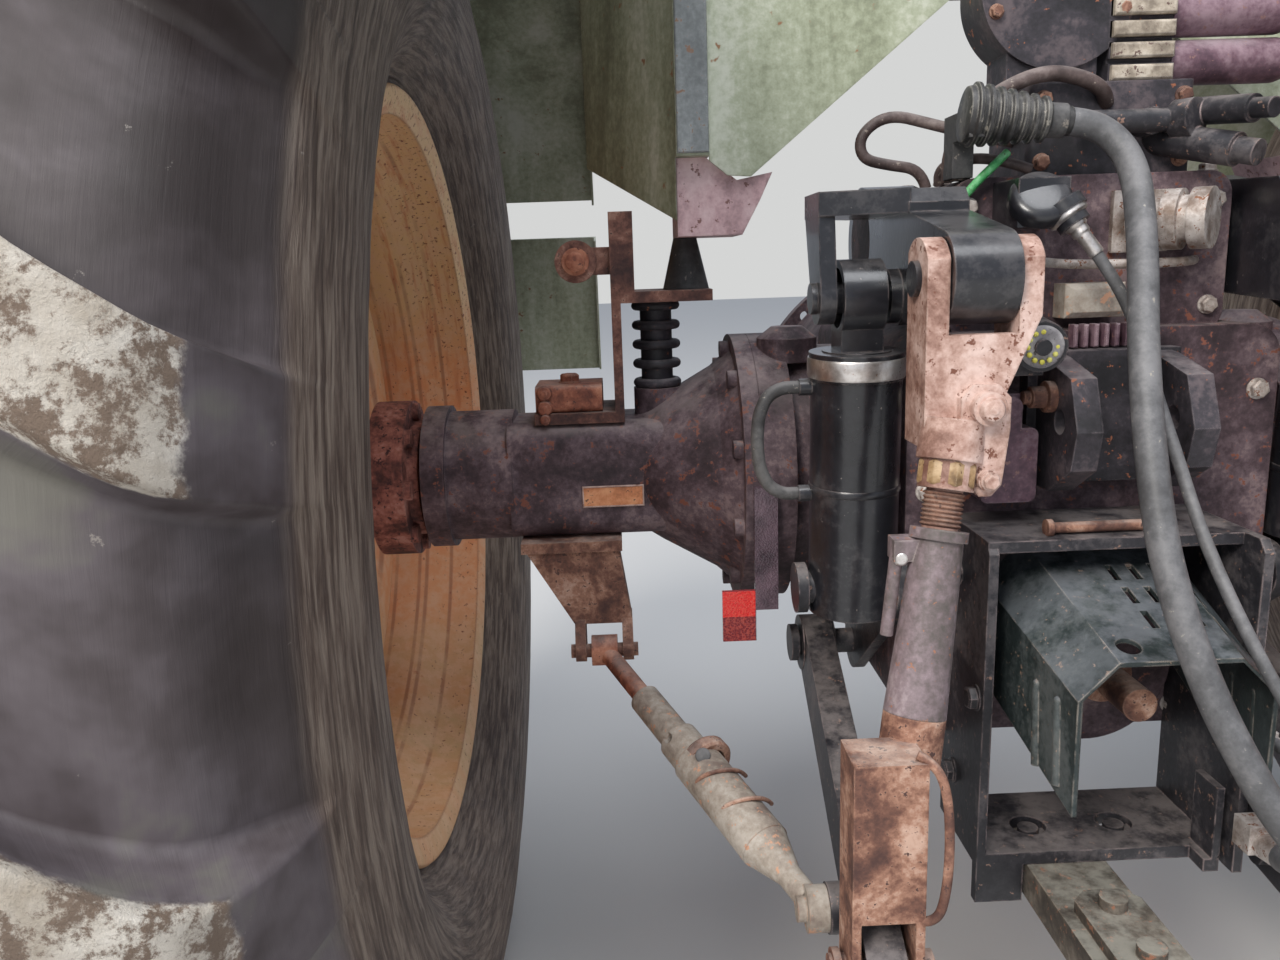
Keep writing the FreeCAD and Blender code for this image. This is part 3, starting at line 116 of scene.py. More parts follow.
# Materials: layered noises in the frame's own coordinates
class Paint:
    """One procedural material, with short names for the shader nodes it uses."""

    def __init__(self, name):
        self.material = bpy.data.materials.new(name)
        self.material.use_nodes = True
        self.tree = self.material.node_tree
        self.shader = self.tree.nodes["Principled BSDF"]
        self.place = self.add("TexCoord").outputs["Object"]

    def add(self, kind, **values):
        node = self.tree.nodes.new("ShaderNode" + kind)
        for key, value in values.items():
            setattr(node, key, value)
        return node

    def plug(self, socket, value):
        if isinstance(value, bpy.types.NodeSocket):
            self.tree.links.new(value, socket)
        elif isinstance(value, tuple) and len(value) == 3 and socket.type == "RGBA":
            socket.default_value = (*value, 1)
        else:
            socket.default_value = value

    def stretched(self, stretch, place=None):
        node = self.add("Mapping")
        self.plug(node.inputs["Vector"], place or self.place)
        node.inputs["Scale"].default_value = stretch
        return node.outputs["Vector"]

    def noise(self, scale, detail=6.0, rough=0.6, stretch=None, place=None, warp=0.0):
        node = self.add("TexNoise")
        self.plug(node.inputs["Vector"], self.stretched(stretch, place) if stretch else place or self.place)
        node.inputs["Scale"].default_value = scale
        node.inputs["Detail"].default_value = detail
        node.inputs["Roughness"].default_value = rough
        node.inputs["Distortion"].default_value = warp
        return node.outputs["Fac"]

    def cells(self, scale, stretch=None):
        node = self.add("TexVoronoi")
        self.plug(node.inputs["Vector"], self.stretched(stretch) if stretch else self.place)
        node.inputs["Scale"].default_value = scale
        return node.outputs["Distance"]

    def window(self, source, low, high, top=1.0):
        """0 below low, top above high, smooth between; a window with low above high falls instead."""
        node = self.add("MapRange", interpolation_type="SMOOTHSTEP")
        self.plug(node.inputs["Value"], source)
        flip = low > high
        node.inputs["From Min"].default_value = min(low, high)
        node.inputs["From Max"].default_value = max(low, high)
        node.inputs["To Min"].default_value = top if flip else 0.0
        node.inputs["To Max"].default_value = 0.0 if flip else top
        return node.outputs["Result"]

    def math(self, kind, a, b=0.0):
        node = self.add("Math", operation=kind)
        self.plug(node.inputs[0], a)
        self.plug(node.inputs[1], b)
        return node.outputs[0]

    def ramp(self, source, stops):
        node = self.add("ValToRGB")
        self.plug(node.inputs["Fac"], source)
        bands = node.color_ramp.elements
        while len(bands) < len(stops):
            bands.new(0.5)
        for band, (at, colour) in zip(bands, stops):
            band.position = at
            band.color = (*colour, 1)
        return node.outputs["Color"]

    def mix(self, mask, under, over):
        node = self.add("Mix", data_type="RGBA")
        self.plug(node.inputs[0], mask)
        self.plug(node.inputs[6], under)
        self.plug(node.inputs[7], over)
        return node.outputs[2]

    def part(self, which, vector=None):
        node = self.add("SeparateXYZ")
        self.plug(node.inputs[0], vector or self.place)
        return node.outputs[which]

    def rounded(self, radius):
        node = self.add("Bevel", samples=2)
        node.inputs["Radius"].default_value = radius
        return node.outputs["Normal"]

    def edge(self, soft):
        """How far the rounded normal leans away from the face's own."""
        geometry = self.add("NewGeometry")
        dot = self.add("VectorMath", operation="DOT_PRODUCT")
        self.plug(dot.inputs[0], soft)
        self.plug(dot.inputs[1], geometry.outputs["Normal"])
        return self.math("SUBTRACT", 1.0, dot.outputs["Value"])

    def upward(self):
        return self.part("Z", self.add("NewGeometry").outputs["Normal"])

    def finish(self, colour, rough, height, depth, normal=None, metal=0.0, coat=0.0):
        self.plug(self.shader.inputs["Base Color"], colour)
        self.plug(self.shader.inputs["Roughness"], rough)
        self.shader.inputs["Metallic"].default_value = metal
        self.shader.inputs["Coat Weight"].default_value = coat
        self.shader.inputs["Coat Roughness"].default_value = 0.15
        bump = self.add("Bump")
        bump.inputs["Strength"].default_value = 1.0
        bump.inputs["Distance"].default_value = depth
        self.plug(bump.inputs["Height"], height)
        if normal:
            self.plug(bump.inputs["Normal"], normal)
        self.plug(self.shader.inputs["Normal"], bump.outputs["Normal"])
        return self.material


def worn(name, stops, scale=14.0, stretch=None, specks=None, edge=None, dust_and_sheen=None, rough=(0.55, 0.85),
         depth=0.0012, grain=120.0, soft=0.0025, metal=0.0, coat=0.0):
    """Patchy old surface: a ramp of colours, fine specks, worn edges and a tint on what faces up, which is dust, and
    on the guard coat a bluish painted sky sheen.
    """
    p = Paint(name)
    broad = p.noise(scale, 5.0, 0.62, stretch, warp=0.3)
    fine = p.noise(grain, 3.0, 0.7)
    blend = p.math("ADD", p.math("MULTIPLY", broad, 0.72), p.math("MULTIPLY", fine, 0.28))
    colour = p.ramp(p.window(blend, 0.33, 0.67), stops)
    if specks:
        speck_colour, speck_scale, least = specks
        spots = p.window(p.noise(speck_scale, 3.0, 0.75), least, least + 0.06)
        colour = p.mix(spots, colour, speck_colour)
    normal = p.rounded(soft)
    if edge:
        edge_colour, amount = edge
        rim = p.math("MULTIPLY", p.window(p.edge(normal), 0.004, 0.10), p.window(p.noise(45.0, 4.0), 0.38, 0.62, amount))
        colour = p.mix(rim, colour, edge_colour)
    if dust_and_sheen:
        dust_and_sheen_colour, amount = dust_and_sheen
        # Tint on what faces up: dust, and on the guard coat a painted sky sheen.
        dust_and_sheen_mask = p.math("MULTIPLY", p.window(p.upward(), 0.35, 0.95, amount), p.window(p.noise(22.0, 6.0, 0.7), 0.35, 0.6))
        colour = p.mix(dust_and_sheen_mask, colour, dust_and_sheen_colour)
    low, high = rough
    roughness = p.math("ADD", p.math("MULTIPLY", broad, high - low), low)
    return p.finish(colour, roughness, blend, depth, normal, metal, coat)


def tyre_rubber():
    """Dusty rubber, scratched around the wheel, with the lugs' tops worn rough and pale; their paleness is partly wear
    and partly painted sunlight.
    """
    p = Paint("tyre_rubber")
    skin = p.add("Attribute", attribute_name="grain").outputs["Vector"]
    # The worn attribute marks lug tops: real wear, and where the colour adds painted sunlight.
    top = p.add("Attribute", attribute_name="worn").outputs["Fac"]
    wall = p.add("Attribute", attribute_name="side").outputs["Fac"]
    broad = p.noise(4.0, 5.0, 0.6, warp=0.3)
    fibres = p.noise(150.0, 5.0, 0.7, (1.0, 0.055, 0.055), skin, 0.3)
    smooth = p.noise(20.0, 6.0, 0.6)
    rubber = p.ramp(p.window(broad, 0.33, 0.68), [(0.0, (0.022, 0.014, 0.013)), (0.45, (0.057, 0.044, 0.046)),
                                                  (0.8, (0.109, 0.091, 0.098)), (1.0, (0.146, 0.137, 0.117))])
    brown = p.ramp(p.window(fibres, 0.34, 0.66), [(0.0, (0.057, 0.036, 0.027)), (0.5, (0.133, 0.096, 0.075)),
                                                  (1.0, (0.234, 0.185, 0.147))])
    colour = p.mix(p.window(wall, 0.1, 0.9), rubber, brown)
    chalk = p.window(p.noise(34.0, 6.0, 0.80), 0.43, 0.55)
    # Pale lug-top colour: worn rubber, brightened further as painted sunlight.
    pale = p.mix(chalk, (0.208, 0.150, 0.111), p.ramp(smooth, [(0.3, (0.468, 0.403, 0.325)), (0.7, (0.806, 0.754, 0.676))]))
    colour = p.mix(p.window(p.math("ADD", top, p.math("MULTIPLY", p.noise(30.0, 5.0, 0.75), 0.8)), 0.85, 1.15), colour, pale)
    cuts = p.window(p.cells(7.0, (1.0, 5.0, 1.4)), 0.018, 0.008, 0.8)
    colour = p.mix(cuts, colour, (0.016, 0.013, 0.013))
    dabs = p.window(p.noise(38.0, 6.0, 0.75), 0.66, 0.72, 0.6)
    colour = p.mix(dabs, colour, (0.390, 0.351, 0.312))
    height = p.math("ADD", p.math("MULTIPLY", p.noise(60.0, 8.0, 0.75), p.window(top, 0.3, 0.9, 2.2)),
                    p.math("MULTIPLY", fibres, p.math("ADD", p.math("MULTIPLY", wall, 0.8), 0.15)))
    rough = p.math("ADD", p.math("MULTIPLY", top, 0.3), p.math("ADD", p.math("MULTIPLY", smooth, 0.3), 0.46))
    return p.finish(colour, rough, height, 0.0032)


def rim_paint():
    """Cream at the top, orange through the middle, greenish cream at the bottom, peppered with rust where water ran.
    """
    p = Paint("rim_paint")
    height = p.part("Z")
    broad = p.noise(9.0, 6.0, 0.6, (0.5, 1.0, 0.5))
    tone_by_height = p.math("ADD", p.window(height, -0.42, 0.46), p.math("MULTIPLY", broad, 0.35))
    colour = p.ramp(tone_by_height, [(0.05, (0.598, 0.494, 0.260)), (0.26, (0.806, 0.377, 0.169)), (0.55, (0.832, 0.286, 0.111)),
                           (0.85, (0.840, 0.383, 0.161)), (1.0, (0.840, 0.552, 0.264))])
    mottled = p.window(p.noise(42.0, 7.0, 0.7), 0.40, 0.62, 0.55)
    colour = p.mix(mottled, colour, (0.840, 0.546, 0.336))
    near = p.window(p.part("X"), -0.90, -0.80)
    least = p.math("SUBTRACT", 0.66, p.math("MULTIPLY", p.math("ADD", near, p.window(height, -0.1, 0.3)), 0.035))
    specks = p.window(p.math("SUBTRACT", p.noise(150.0, 4.0, 0.65), least), 0.0, 0.05, 0.9)
    colour = p.mix(specks, colour, (0.286, 0.058, 0.026))
    blots = p.window(p.noise(20.0, 8.0, 0.72), 0.62, 0.70, 0.75)
    colour = p.mix(blots, colour, (0.546, 0.156, 0.058))
    out = p.math("ABSOLUTE", p.part("X"))
    for fold in (0.821, 0.860, 0.872, 0.912, 0.932):
        near_fold = p.window(p.math("ABSOLUTE", p.math("SUBTRACT", out, fold)), 0.0042, 0.0012, 0.6)
        colour = p.mix(p.math("MULTIPLY", near_fold, p.window(broad, 0.35, 0.6)), colour, (0.312, 0.098, 0.046))
    streaks = p.window(p.noise(30.0, 6.0, 0.7, (3.0, 0.3, 0.3)), 0.50, 0.66, 0.6)
    colour = p.mix(p.math("MULTIPLY", streaks, p.window(height, -0.25, 0.2)), colour, (0.650, 0.195, 0.072))
    soft = p.rounded(0.006)
    colour = p.mix(p.window(p.edge(soft), 0.003, 0.06, 0.65), colour, (0.390, 0.130, 0.065))
    rough = p.math("ADD", p.math("MULTIPLY", mottled, 0.2), 0.5)
    return p.finish(colour, rough, p.math("ADD", mottled, specks), 0.0006, soft)


def reflector_red():
    """Two-tone red lens over small prisms; the bar that carries it is worn mauve paint."""
    p = Paint("reflector_red")
    height = p.part("Z")
    tone = p.window(height, -0.1530, -0.1522)
    prisms = p.cells(420.0)
    lens = p.mix(tone, (0.208, 0.010, 0.016), (0.806, 0.021, 0.018))
    lens = p.mix(p.window(prisms, 0.35, 0.75, 0.35), lens, (0.840, 0.147, 0.094))
    bar = p.ramp(p.noise(25.0, 5.0), [(0.3, (0.046, 0.029, 0.039)), (0.7, (0.195, 0.124, 0.156))])
    outside = p.window(p.math("ABSOLUTE", p.part("X")), 0.3515, 0.3525)
    low = p.window(height, -0.1195, -0.1205)
    colour = p.mix(p.math("MULTIPLY", outside, low), bar, lens)
    return p.finish(colour, p.window(p.noise(30.0), 0.2, 0.9, 0.4), prisms, 0.0008, coat=0.4)


RUST = (0.312, 0.111, 0.055)
CHALK = (0.546, 0.481, 0.429)
FINISH = {
    "cast": worn("cast_iron", [(0.0, (0.023, 0.013, 0.016)), (0.45, (0.072, 0.044, 0.052)), (0.75, (0.130, 0.088, 0.099)),
                               (1.0, (0.247, 0.176, 0.176))], 13.0, None, ((0.208, 0.072, 0.046), 60.0, 0.60),
                 ((0.273, 0.182, 0.182), 0.8), ((0.338, 0.273, 0.260), 0.6), depth=0.0022),
    "cast_dark": worn("cast_dark", [(0.0, (0.013, 0.012, 0.014)), (0.6, (0.042, 0.036, 0.044)), (1.0, (0.117, 0.091, 0.098))],
                      16.0, None, (RUST, 70.0, 0.64), ((0.234, 0.195, 0.208), 0.8), ((0.312, 0.273, 0.273), 0.5), (0.4, 0.8)),
    "gloss_black": worn("gloss_black", [(0.0, (0.008, 0.008, 0.010)), (0.7, (0.018, 0.018, 0.022)), (1.0, (0.052, 0.049, 0.052))],
                        9.0, None, ((0.195, 0.169, 0.156), 110.0, 0.68), ((0.286, 0.234, 0.221), 0.9), ((0.208, 0.195, 0.195), 0.4),
                        (0.18, 0.42), 0.0006, coat=0.35),
    "black": worn("worn_black", [(0.0, (0.010, 0.010, 0.013)), (0.6, (0.031, 0.029, 0.034)), (1.0, (0.111, 0.098, 0.101))],
                  12.0, None, ((0.260, 0.156, 0.117), 80.0, 0.63), ((0.442, 0.338, 0.325), 1.0), ((0.312, 0.273, 0.260), 0.55),
                  (0.32, 0.66)),
    # Guard coat: the bluish tint on what faces up is a painted sky sheen.
    "green_black": worn("guard_coat", [(0.0, (0.010, 0.016, 0.016)), (0.6, (0.031, 0.042, 0.042)), (1.0, (0.098, 0.111, 0.111))],
                        9.0, (1.0, 1.0, 0.45), ((0.286, 0.195, 0.143), 90.0, 0.64), ((0.546, 0.468, 0.403), 0.95),
                        ((0.260, 0.273, 0.299), 0.5), (0.28, 0.58), 0.0014),
    "rust": worn("rusty_steel", [(0.0, (0.072, 0.033, 0.027)), (0.4, (0.182, 0.083, 0.056)), (0.72, (0.351, 0.185, 0.124)),
                                 (1.0, (0.546, 0.364, 0.280))], 22.0, None, ((0.078, 0.039, 0.033), 120.0, 0.60),
                 ((0.650, 0.390, 0.273), 0.7), (CHALK, 0.35), (0.65, 0.95), 0.0020),
    "dark_rust": worn("dark_rust", [(0.0, (0.039, 0.018, 0.017)), (0.45, (0.111, 0.047, 0.036)), (0.8, (0.221, 0.101, 0.073)),
                                    (1.0, (0.364, 0.208, 0.156))], 24.0, None, ((0.039, 0.023, 0.021), 120.0, 0.60),
                      ((0.442, 0.247, 0.182), 0.7), (CHALK, 0.3), (0.65, 0.95), 0.0020),
    "beige": worn("beige_cast", [(0.0, (0.208, 0.169, 0.130)), (0.5, (0.442, 0.377, 0.299)), (1.0, (0.650, 0.585, 0.494))], 30.0, None,
                  ((0.130, 0.078, 0.065), 100.0, 0.60), ((0.715, 0.650, 0.572), 0.7), None, (0.5, 0.8)),
    "post_blue": worn("post_paint", [(0.0, (0.156, 0.169, 0.169)), (0.5, (0.273, 0.293, 0.293)), (1.0, (0.429, 0.442, 0.436))], 12.0,
                      (1.0, 1.0, 0.2), ((0.260, 0.156, 0.104), 60.0, 0.63), ((0.585, 0.585, 0.559), 0.7), None, (0.45, 0.7)),
    "orange_rust": worn("orange_rust", [(0.0, (0.111, 0.034, 0.023)), (0.45, (0.299, 0.101, 0.058)), (1.0, (0.546, 0.247, 0.150))],
                        24.0, None, ((0.091, 0.039, 0.033), 110.0, 0.60), ((0.650, 0.351, 0.247), 0.7), (CHALK, 0.3), (0.6, 0.9),
                        0.0018),
    "hub": worn("hub_rust", [(0.0, (0.058, 0.023, 0.021)), (0.4, (0.208, 0.072, 0.055)), (0.75, (0.390, 0.150, 0.111)),
                             (1.0, (0.520, 0.260, 0.208))], 26.0, None, ((0.065, 0.026, 0.026), 100.0, 0.58),
                ((0.546, 0.260, 0.182), 0.6), None, (0.6, 0.95), 0.0030),
    "pink_rust": worn("pink_rust", [(0.0, (0.169, 0.078, 0.055)), (0.35, (0.364, 0.215, 0.169)), (0.7, (0.546, 0.370, 0.312)),
                                    (1.0, (0.702, 0.533, 0.474))], 17.0, None, ((0.182, 0.072, 0.046), 80.0, 0.59),
                      ((0.754, 0.585, 0.507), 0.8), None, (0.55, 0.85), 0.0014),
    "pink_paint": worn("pink_paint", [(0.0, (0.351, 0.221, 0.227)), (0.5, (0.598, 0.390, 0.403)), (1.0, (0.754, 0.559, 0.559))],
                       20.0, (1.0, 1.0, 0.5), ((0.260, 0.130, 0.117), 70.0, 0.60), ((0.806, 0.624, 0.585), 0.6), None, (0.5, 0.8)),
    "grey_tube": worn("grey_tube", [(0.0, (0.182, 0.137, 0.114)), (0.45, (0.325, 0.277, 0.229)), (1.0, (0.494, 0.448, 0.393))],
                      15.0, None, ((0.520, 0.286, 0.182), 70.0, 0.59), ((0.442, 0.234, 0.143), 0.8), None, (0.55, 0.85), 0.0012),
    "mauve_tube": worn("mauve_tube", [(0.0, (0.078, 0.072, 0.060)), (0.4, (0.150, 0.117, 0.117)), (0.75, (0.247, 0.189, 0.202)),
                                      (1.0, (0.377, 0.312, 0.319))], 11.0, (1.0, 1.0, 0.3), ((0.325, 0.150, 0.091), 90.0, 0.62),
                       ((0.546, 0.468, 0.429), 0.7), None, (0.34, 0.68)),
    "purple": worn("purple_paint", [(0.0, (0.058, 0.029, 0.044)), (0.5, (0.156, 0.085, 0.111)), (1.0, (0.299, 0.202, 0.234))],
                   14.0, None, ((0.260, 0.143, 0.130), 90.0, 0.62), ((0.442, 0.351, 0.364), 0.9), ((0.390, 0.338, 0.351), 0.5),
                   (0.35, 0.7)),
    "steel": worn("bright_steel", [(0.0, (0.429, 0.377, 0.338)), (0.5, (0.715, 0.676, 0.650)), (1.0, (0.840, 0.828, 0.817))], 18.0,
                  None, ((0.338, 0.169, 0.104), 100.0, 0.62), ((0.840, 0.818, 0.784), 0.6), None, (0.22, 0.45), 0.0006, metal=0.85),
    "old_steel": worn("old_steel", [(0.0, (0.208, 0.150, 0.117)), (0.5, (0.468, 0.403, 0.364)), (1.0, (0.728, 0.676, 0.637))], 30.0,
                      None, ((0.260, 0.117, 0.065), 120.0, 0.58), ((0.806, 0.754, 0.702), 0.7), None, (0.4, 0.7), 0.001, metal=0.4),
    "rubber": worn("rubber", [(0.0, (0.029, 0.027, 0.027)), (0.5, (0.062, 0.060, 0.060)), (1.0, (0.130, 0.125, 0.122))], 16.0,
                   None, ((0.221, 0.195, 0.169), 90.0, 0.64), ((0.169, 0.156, 0.156), 0.5), ((0.234, 0.221, 0.221), 0.6), (0.42, 0.7),
                   0.0008),
    "green": worn("faded_green", [(0.0, (0.176, 0.189, 0.124)), (0.35, (0.293, 0.319, 0.215)), (0.7, (0.416, 0.448, 0.325)),
                                  (1.0, (0.585, 0.605, 0.501))], 9.0, (1.0, 1.0, 0.16), ((0.299, 0.156, 0.078), 34.0, 0.66),
                  ((0.650, 0.650, 0.572), 0.8), None, (0.42, 0.72), 0.0007, 90.0),
    # Lighter copy of the faded green for the fenders: painted light lifting their shaded undersides.
    "green_painted_light": worn("green_with_painted_light", [(0.0, (0.20, 0.215, 0.145)), (0.35, (0.32, 0.345, 0.24)), (0.7, (0.43, 0.455, 0.34)),
                                           (1.0, (0.55, 0.565, 0.48))], 9.0, (1.0, 1.0, 0.16), ((0.25, 0.13, 0.07), 34.0, 0.66),
                        ((0.56, 0.56, 0.50), 0.8), None, (0.42, 0.72), 0.0007, 90.0),
    "olive": worn("olive_steel", [(0.0, (0.044, 0.036, 0.029)), (0.5, (0.107, 0.088, 0.070)), (1.0, (0.221, 0.190, 0.153))],
                  15.0, None, ((0.286, 0.130, 0.078), 90.0, 0.60), ((0.468, 0.377, 0.286), 0.8), ((0.364, 0.351, 0.299), 0.6)),
    "red": reflector_red(),
    "tyre": tyre_rubber(),
    "rim": rim_paint(),
    "ochre": worn("ochre_collar", [(0.0, (0.130, 0.072, 0.033)), (0.5, (0.338, 0.215, 0.104)), (1.0, (0.546, 0.390, 0.234))], 30.0,
                  None, ((0.104, 0.052, 0.026), 110.0, 0.62), ((0.715, 0.546, 0.364), 0.8), None, (0.4, 0.7)),
    "ridged": worn("ridged_rubber", [(0.0, (0.016, 0.016, 0.016)), (0.6, (0.046, 0.044, 0.044)), (1.0, (0.130, 0.124, 0.117))],
                   20.0, None, ((0.286, 0.260, 0.221), 90.0, 0.64), ((0.468, 0.442, 0.390), 0.9), None, (0.35, 0.6), 0.0006),
    "orange": worn("orange_plate", [(0.0, (0.390, 0.143, 0.058)), (0.5, (0.650, 0.247, 0.104)), (1.0, (0.806, 0.390, 0.195))], 40.0,
                   None, ((0.156, 0.065, 0.039), 120.0, 0.63), None, None, (0.45, 0.7), 0.0005),
    "brown_hose": worn("brown_pipe", [(0.0, (0.046, 0.029, 0.026)), (0.6, (0.111, 0.078, 0.072)), (1.0, (0.208, 0.163, 0.150))],
                       18.0, None, ((0.286, 0.234, 0.195), 100.0, 0.64), None, ((0.286, 0.247, 0.234), 0.6), (0.45, 0.7), 0.0006),
    "tag_green": worn("green_tie", [(0.0, (0.039, 0.208, 0.058)), (0.5, (0.078, 0.416, 0.130)), (1.0, (0.260, 0.650, 0.325))], 40.0,
                      None, ((0.130, 0.117, 0.078), 90.0, 0.62), None, None, (0.35, 0.6), 0.0004),
    "cap_grey": worn("grey_cap", [(0.0, (0.169, 0.156, 0.163)), (0.6, (0.312, 0.293, 0.299)), (1.0, (0.468, 0.448, 0.448))], 30.0,
                     None, ((0.104, 0.091, 0.091), 110.0, 0.62), None, None, (0.4, 0.65), 0.0004),
    "yellow": worn("yellow_mark", [(0.0, (0.546, 0.442, 0.052)), (0.5, (0.806, 0.728, 0.104)), (1.0, (0.840, 0.793, 0.257))], 60.0,
                   None, ((0.182, 0.143, 0.065), 150.0, 0.62), None, None, (0.45, 0.7), 0.0003),
    "hose_grey": worn("hose_rubber", [(0.0, (0.065, 0.064, 0.066)), (0.5, (0.114, 0.113, 0.117)), (1.0, (0.189, 0.185, 0.189))],
                      12.0, None, ((0.312, 0.286, 0.247), 120.0, 0.66), None, ((0.286, 0.273, 0.273), 0.5), (0.42, 0.62), 0.0004),
}

NODE_FINISH = {
    # The fenders take the lighter green copy, which is painted light.
    "tyre": "tyre", "rim": "rim", "hub": "hub", "fender": "green_painted_light", "rear_panel": "green", "cab_mounts": "dark_rust",
    "axle_clamps": "orange_rust", "cab_springs": "cast_dark", "cab_rubbers": "rubber", "cab_feet": "pink_paint",
    "stabiliser_brackets": "rust", "stabiliser_rod": "orange_rust", "stabiliser_tube": "grey_tube",
    "lower_link": "black", "link_ball": "steel", "link_brackets": "black", "rockshaft": "cast_dark",
    "lift_arm": "gloss_black", "lift_rod_fork": "pink_rust", "lift_rod_tube": "mauve_tube",
    "lift_rod_foot": "rust", "cylinder_barrel": "gloss_black", "cylinder_rod": "gloss_black",
    "cylinder_hose": "rubber", "hitch_frame": "black", "drawbar": "olive", "pto_guard": "green_black",
    "pto_shaft": "rust", "top_link_bracket": "cast_dark", "valve_block": "cast_dark", "valve_box": "purple",
    "spool_tubes": "purple", "couplers": "black", "pressure_port": "old_steel", "lift_sensor": "gloss_black",
    "depth_knob": "black", "reflectors": "red", "hose_boot": "rubber", "hose_fittings": "old_steel",
    "hose": "rubber", "transaxle_case": "cast", "axle_housing": "cast",
}


def finish_of(name):
    keys = [key for key in NODE_FINISH if name.startswith(key)]
    return FINISH[NODE_FINISH[max(keys, key=len)]]


def dress_nodes():
    for name, obj in NODES.items():
        obj.data.materials.clear()
        obj.data.materials.append(finish_of(name))


dress_nodes()
for cord in (THICK, THIN):
    cord.data.materials.append(FINISH["hose_grey"])


# Tyres: a grid over the tread whose rows follow the lugs
CARCASS = [(243.7, 476.3), (243.7, 504), (253, 512), (294, 550), (318, 602), (322, 660), (311, 716), (301, 742),
           (278, 762), (260, 784), (238, 803), (205, 815), (160, 824), (107, 830), (60, 831), (20, 832), (12, 832),
           (0, 832)]
LUG_TOP = [(243.7, 476.3), (243.7, 504), (253, 512), (294, 550), (318, 602), (322, 660), (312, 722), (306, 752),
           (296, 786), (281, 822), (264, 848), (242, 867), (205, 875), (160, 879), (107, 882), (60, 884), (22, 885),
           (0, 832)]
LUG_COUNT = 16
LUG_LEAN = math.radians(10.5)
LUG_START = math.radians(9.3)
LUG_SPAN = (18.0, 302.0)
TREAD_R = 872.0
AROUND = (0, 14, 27, 37, 43, 46, 48.5, 51, 54, 58, 64, 74)   # mm from a lug's middle line


def smooth_run(points, steps):
    """Points of a Catmull-Rom curve through the given ones."""
    run = []
    for i in range(len(points) - 1):
        p0, p1, p2, p3 = (Vector(points[min(max(k, 0), len(points) - 1)]) for k in (i - 1, i, i + 1, i + 2))
        for s in range(steps):
            t = s / steps
            run.append(0.5 * (2 * p1 + (p2 - p0) * t + (2 * p0 - 5 * p1 + 4 * p2 - p3) * t * t
                              + (3 * p1 - p0 - 3 * p2 + p3) * t ** 3))
    run.append(Vector(points[-1]))
    return run


def ramp01(value, low, high):
    t = min(max((value - low) / (high - low), 0), 1)
    return t * t * (3 - 2 * t)


def tread_angles():
    """Sample angles with their distance in millimetres from the nearest lug line of either side."""
    half_pitch = math.pi * TREAD_R / LUG_COUNT
    steps = sorted({-d for d in AROUND} | set(AROUND)) + [half_pitch / 2]
    return [(k * half_pitch + d) / TREAD_R for k in range(2 * LUG_COUNT) for d in steps]


def lug_share(angle, side):
    """1 on a lug, 0 between lugs, with sloped walls."""
    pitch = 2 * math.pi / LUG_COUNT
    turn = angle - LUG_START - (pitch / 2 if side < 0 else 0)
    away = abs((turn + pitch / 2) % pitch - pitch / 2) * TREAD_R
    return 1 - ramp01(away, 45, 58)


def make_tyre(side_name, mirror):
    base = smooth_run(CARCASS, 2)
    crest = smooth_run(LUG_TOP, 2)
    section = [(1, a, b) for a, b in zip(base, crest)] + [(-1, a, b) for a, b in list(zip(base, crest))[-2::-1]]
    angles = [LUG_START + a for a in tread_angles()]
    centre = -HALF_TRACK * 1000
    verts, grain, lug_top_wear_and_light, side_wall = [], [], [], []
    across = 0.0
    last = None
    for side, low, high in section:
        if last is not None:
            across += (Vector((side * low.x, low.y)) - last).length
        last = Vector((side * low.x, low.y))
        lean = min(max((LUG_SPAN[1] - low.x) / (LUG_SPAN[1] - LUG_SPAN[0]), 0), 1) ** 1.6
        for angle in angles:
            share = lug_share(angle, side)
            at = low.lerp(high, share)
            turn = angle - math.tan(LUG_LEAN) * lean
            x = centre + side * at.x
            y, z = -math.sin(turn), math.cos(turn)
            rough = noise.noise(Vector((x, y * 850, z * 850)) * 0.02) * 2.4
            rough += noise.noise(Vector((x, y * 850, z * 850)) * 0.09) * (0.5 + 1.2 * share * (at.y > 780))
            r = at.y + rough * ramp01(at.y, 520, 640)
            verts.append(axle(mirror * x, y * r, z * r))
            grain.append((across / 1000, y * 0.85, z * 0.85))
            # Lug-top mask: real wear, and where the tyre's colour paints sunlight.
            lug_top_wear_and_light.append(ramp01(share, 0.55, 1) * ramp01(at.y, 812, 852))
            side_wall.append(1 - ramp01(low.y, 733, 752))
    rows, turns = len(section), len(angles)
    faces = []
    for i in range(rows - 1):
        for j in range(turns):
            k = (j + 1) % turns
            quad = (i * turns + j, i * turns + k, (i + 1) * turns + k, (i + 1) * turns + j)
            faces.append(quad if mirror > 0 else quad[::-1])
    mesh = bpy.data.meshes.new("tread_" + side_name)
    mesh.from_pydata(verts, [], faces)
    for label, values, kind in (("worn", lug_top_wear_and_light, "FLOAT"), ("side", side_wall, "FLOAT"), ("grain", grain, "FLOAT_VECTOR")):
        field = mesh.attributes.new(label, kind, "POINT").data
        flat = [c for v in values for c in v] if kind == "FLOAT_VECTOR" else values
        field.foreach_set("vector" if kind == "FLOAT_VECTOR" else "value", flat)
    mesh.shade_smooth()
    mesh.materials.append(FINISH["tyre"])
    obj = bpy.data.objects.new("tread_" + side_name, mesh)
    bpy.context.scene.collection.objects.link(obj)
    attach(obj, "wheel_" + side_name)
    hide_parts("tyre_" + side_name)


make_tyre("left", 1)
make_tyre("right", -1)


# Trim: small pieces that the CAD leaves out
def around(axis):
    """A unit axis and two directions square to it."""
    axis = Vector(axis).normalized()
    side = axis.orthogonal().normalized()
    return axis, side, axis.cross(side)


